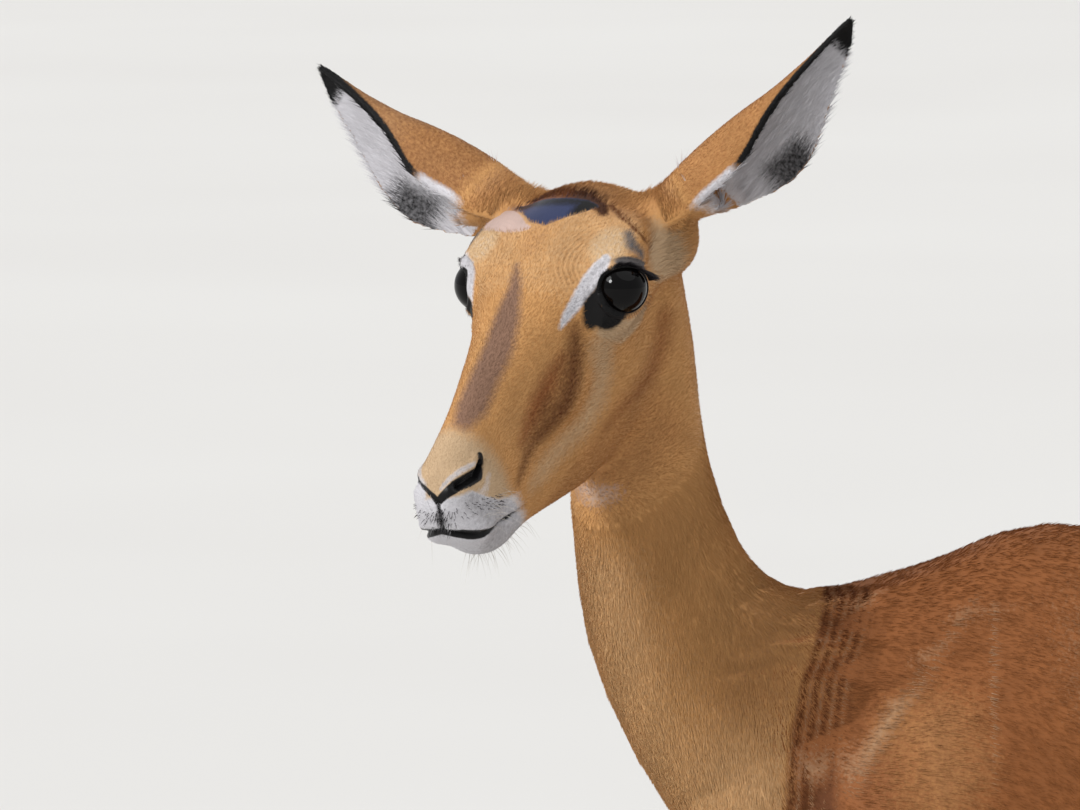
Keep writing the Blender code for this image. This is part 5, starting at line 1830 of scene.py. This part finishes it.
LASH_TIP = np.array((-0.0215, 0.0030, 0.0075))  # where the lashes meet, past the outer corner
LASH_ROOT = (1.07, 0.0014)  # in openings, and its lift off the eyeball
LASH_RUNS = ((0.6, 1.2, 40), (1.2, 2.95, 330), (3.5, 5.6, 26))  # first angle, last angle, hairs


def lashes(name, sign, rng):
    """A dense upper fringe that sweeps back past the outer corner, and a few short hairs below."""
    frame = np.array(eye_frame(sign))
    strands = []
    for angle in np.concatenate([np.linspace(*run) for run in LASH_RUNS]):
        upper = angle < math.pi
        angle += rng.normal(0, 0.02)
        start = rim_point(angle, *LASH_ROOT)
        out = start / np.linalg.norm(start)
        away = np.array((math.cos(angle), math.sin(angle), 0.0))
        if upper:
            outer = ramp(angle, 0.9, 2.0)
            gap = LASH_TIP + rng.normal(0, 0.0007, 3) - start
            reach = min(0.0040 + 0.0095 * outer, np.linalg.norm(gap))
            way = (1 - outer) * (0.6 * out + 0.2 * away - (0.5, 0, 0)) + outer * gap / np.linalg.norm(gap)
            way = way + 0.35 * (1 - 0.6 * outer) * out
            bend = -0.22 * out * (1 - 0.5 * outer)
        else:
            reach, way, bend = 0.0030, 0.7 * out + 0.45 * away, np.array((0.0, -0.25, 0.0))
        reach *= 0.8 + 0.4 * rng.random()
        way = way / np.linalg.norm(way) + rng.normal(0, 0.04, 3)
        course = [start + way * reach * t + bend * reach * t * t for t in np.linspace(0, 1, 5)]
        course = [frame[:3, :3] @ p + frame[:3, 3] for p in course]
        strands.append((course, 0.00026 if upper else 0.00016))
    return hair_bundle(name, strands)


# ---------------------------------------------------------------- whiskers and bristles
def on_skin(tree, spot):
    """The skin's own place and normal nearest to a spot of the head."""
    place = head_frame() @ Vector(spot)
    near, normal, _, _ = tree.find_nearest(place)
    return np.array(near), np.array(normal)


def bristle(tree, spot, reach, droop, rng, spread=0.15):
    """One hair's course out of the skin, swept back and drooping to its tip."""
    place, normal = on_skin(tree, spot)
    way = normal - 0.2 * HEAD_AXES[:, 0] + rng.normal(0, spread, 3)
    way /= np.linalg.norm(way)
    root, sag = place - normal * 0.0004, np.array((0.0, 0.0, -1.0)) * droop
    return [root + way * reach * t + sag * reach * t * t for t in np.linspace(0, 1, 5)]


def lip_bristles(tree, rng):
    """Short black hairs in rows on the upper lip, thicker beside its groove."""
    strands = []
    for row in range(5):
        for k in range(11):
            forward = 0.1735 - 0.0034 * k - 0.0006 * row
            left = 0.0060 + 0.0024 * k
            up = -0.0040 - 0.0026 * row - 0.0012 * k - 0.0014 * max(0, k - 3)
            for sign in (1, -1):
                spot = np.array((forward, sign * min(left, 0.0225), up)) + rng.normal(0, 0.0005, 3)
                strands.append((bristle(tree, spot, 0.0022 + 0.0014 * rng.random(), 0.5, rng), 0.00030))
    for k in range(90):
        forward, left = 0.1750 + rng.normal(0, 0.0012), 0.004 + rng.normal(0, 0.0042)
        spot = (forward, left, -0.0030 - 0.0150 * rng.random())
        strands.append((bristle(tree, spot, 0.0036, 0.9, rng), 0.00026))
    return hair_bundle("lip_bristles", strands)


def chin_whiskers(tree, rng):
    """Pale whiskers under the chin and by the lips."""
    strands = []
    for k in range(64):
        spot = (0.118 + 0.050 * rng.random(), rng.normal(0, 0.009), -0.0640)
        strands.append((bristle(tree, spot, 0.005 + 0.009 * rng.random(), 0.55, rng, 0.30), 0.00012))
    for k in range(26):
        forward, left = 0.130 + 0.032 * rng.random(), math.copysign(0.021, rng.random() - 0.5)
        spot = (forward, left, -0.022 - 0.012 * rng.random())
        strands.append((bristle(tree, spot, 0.008 + 0.012 * rng.random(), 0.5, rng, 0.30), 0.00014))
    return hair_bundle("chin_whiskers", strands)


# ---------------------------------------------------------------- hooves
HOOF_LEAN = 0.020  # how far the toe reaches in front of the top edge
CLAW_WIDTH = 0.0172
CLEFT = 0.0016  # between the two claws of a foot


def foot_of(sizes, side_sign, stride):
    """Middle x, and front and back y of the top edge, of one foot."""
    height = CORONET[1]
    _, front, back, x, _, _ = min(smooth_rows(sizes, 110), key=lambda row: abs(row[0] - height))
    step = stride * (LEG_ROOT - height) / LEG_ROOT
    return side_sign * x, front + step, back + step


def claw(name, middle, outward, front, back):
    """One claw: a wall of horn that leans out to the toe, with a rounded top edge and a flat sole."""
    half = CLAW_WIDTH / 2
    centre = middle + outward * (half + CLEFT / 2)
    rings = []
    wall = [(k / 14, 0.0) for k in range(1, 14)]
    for level, inset in ((0.0, 0.0006), (0.03, 0.0), *wall, (0.97, 0.0002), (1.0, 0.0012)):
        toe, heel = front - HOOF_LEAN * (1 - level), back - 0.002 * (1 - level)
        ring = []
        for angle in np.linspace(0, 2 * math.pi, 56, endpoint=False):
            along = (1 - math.cos(angle)) / 2  # 0 at the heel, 1 at the toe
            side = math.sin(angle)
            side = math.copysign(abs(side) ** 0.8, side) * (1 - 0.35 * along**3)
            lean = 0.0016 * outward * (1 - level) * (side * outward > 0)
            height = (CORONET[0] + (CORONET[1] - CORONET[0]) * along) * level
            reach = heel - inset + (toe - heel + 2 * inset) * along
            ring.append((centre + (half - inset) * side + lean, reach, height))
        rings.append(ring)
    made = loft(name, rings)
    made.data.shade_smooth()
    made.data.set_sharp_from_angle(angle=math.radians(60))
    return made


# ---------------------------------------------------------------- build
def frame_offset():
    """From the model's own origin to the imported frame's, found from the eyes."""
    packed = [(Vector(low) + Vector(high)) / 2 for low, high in (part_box("eye_left"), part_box("eye_right"))]
    own = [eye_frame(sign).translation for sign in (1, -1)]
    shift = (packed[0] + packed[1] - own[0] - own[1]) / 2
    return Vector((shift.x, shift.y, 0.0))


OFFSET = frame_offset()


def keep(made, material, slot, *nodes):
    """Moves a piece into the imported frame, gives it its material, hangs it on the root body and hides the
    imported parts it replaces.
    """
    made.data.materials.clear()
    made.data.materials.append(material)
    made.data.transform(Matrix.Translation(OFFSET))
    made.data.update()
    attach(made, "root")
    if nodes:
        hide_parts(*nodes)


skin = make_skin()
smooth = sculpt(skin)
skin.data.shade_smooth()
places, normals = places_of(skin), normals_of(skin)
for mark, share in marks_at(smooth, normals).items():
    write_mark(skin, mark, share)
write_mark(skin, "bare", bare_share(smooth))
layer = skin.data.attributes.new("streak_place", "FLOAT_VECTOR", "POINT")
layer.data.foreach_set("vector", streak_place(places).astype(np.float32).ravel())

coat = grow_coat(skin, smooth)
guard_hair = tuft_material()
for piece in coat:
    keep(piece, guard_hair, "coat")

surface = bvhtree.BVHTree.FromPolygons(
    [tuple(p) for p in places], [tuple(p.vertices) for p in skin.data.polygons]
)
wet_skin, lash_hair, cornea = wet_skin_material(), lash_material(), eye_material()
for name, sign in (("left", 1), ("right", -1)):
    rng = np.random.default_rng(40 + sign)
    keep(eyeball("eyeball_" + name, sign), cornea, "eye", "eye_" + name)
    keep(lid_rim("lid_rim_" + name, sign), wet_skin, "eye")
    keep(lashes("lashes_" + name, sign, rng), lash_hair, "coat")
keep(lip_bristles(surface, np.random.default_rng(51)), lash_hair, "coat")
keep(chin_whiskers(surface, np.random.default_rng(52)), whisker_material(), "coat")

horn = horn_material()
for name, sizes, side_sign, stride in LEGS:
    middle, front, back = foot_of(sizes, side_sign, stride)
    for side, outward in (("outer", side_sign), ("inner", -side_sign)):
        node = f"{name.replace('leg', 'hoof')}_{side}"
        keep(claw("claw_" + node, middle, outward, front, back), horn, "horn", node)

FLESH = ("head", "neck", "trunk", "tail", "ear_left", "ear_right", *[leg[0] for leg in LEGS])
keep(skin, skin_material(), "coat", *FLESH)


# ---------------------------------------------------------------- studio and camera
FLOOR_SIDE = 160.0
VIEW_TURN, VIEW_LIFT = math.radians(80), math.radians(6)  # round from straight ahead, and up
VIEW_AIM = Vector((0.075, -0.500, 0.924))
VIEW_REACH = 5.5
LENS = 308.0
ROOM_COLOUR, ROOM_LIGHT = (0.965, 0.97, 0.98, 1.0), 0.62
LAMPS = (  # name, where it is, strength, spread in degrees
    ("key", (0.186, -0.785, 0.593), 0.75, 22),
    ("catch", (0.404, -0.770, 0.494), 1.7, 13),  # the bright pane that the eyes reflect
    ("top", (0.3, 0.3, 1.0), 0.7, 70),
)


def studio():
    """A pale floor in a soft, even room, with three broad lamps."""
    work = bmesh.new()
    bmesh.ops.create_grid(work, x_segments=8, y_segments=8, size=FLOOR_SIDE / 2)
    floor = new_object("floor", work)
    floor.data.materials.append(floor_material())
    world = bpy.data.worlds.new("soft_room")
    world.use_nodes = True
    background = world.node_tree.nodes["Background"]
    background.inputs["Color"].default_value = ROOM_COLOUR
    background.inputs["Strength"].default_value = ROOM_LIGHT
    bpy.context.scene.world = world
    for name, way, energy, spread in LAMPS:
        lamp = bpy.data.lights.new(name, "SUN")
        lamp.energy, lamp.angle = energy, math.radians(spread)
        light = bpy.data.objects.new(name, lamp)
        light.rotation_euler = Vector(way).to_track_quat("Z", "Y").to_euler()
        bpy.context.scene.collection.objects.link(light)


def view():
    """The camera, long and level with the head."""
    data = bpy.data.cameras.new("view")
    data.sensor_width, data.lens = 36.0, LENS
    data.clip_end = 400.0
    camera = bpy.data.objects.new("view", data)
    level = math.cos(VIEW_LIFT)
    out = Vector((math.sin(VIEW_TURN) * level, -math.cos(VIEW_TURN) * level, math.sin(VIEW_LIFT)))
    camera.location = VIEW_AIM + OFFSET + out * VIEW_REACH
    camera.rotation_euler = out.to_track_quat("Z", "Y").to_euler()
    bpy.context.scene.collection.objects.link(camera)
    bpy.context.scene.camera = camera


studio()
view()
bpy.context.scene.view_settings.view_transform = "Standard"
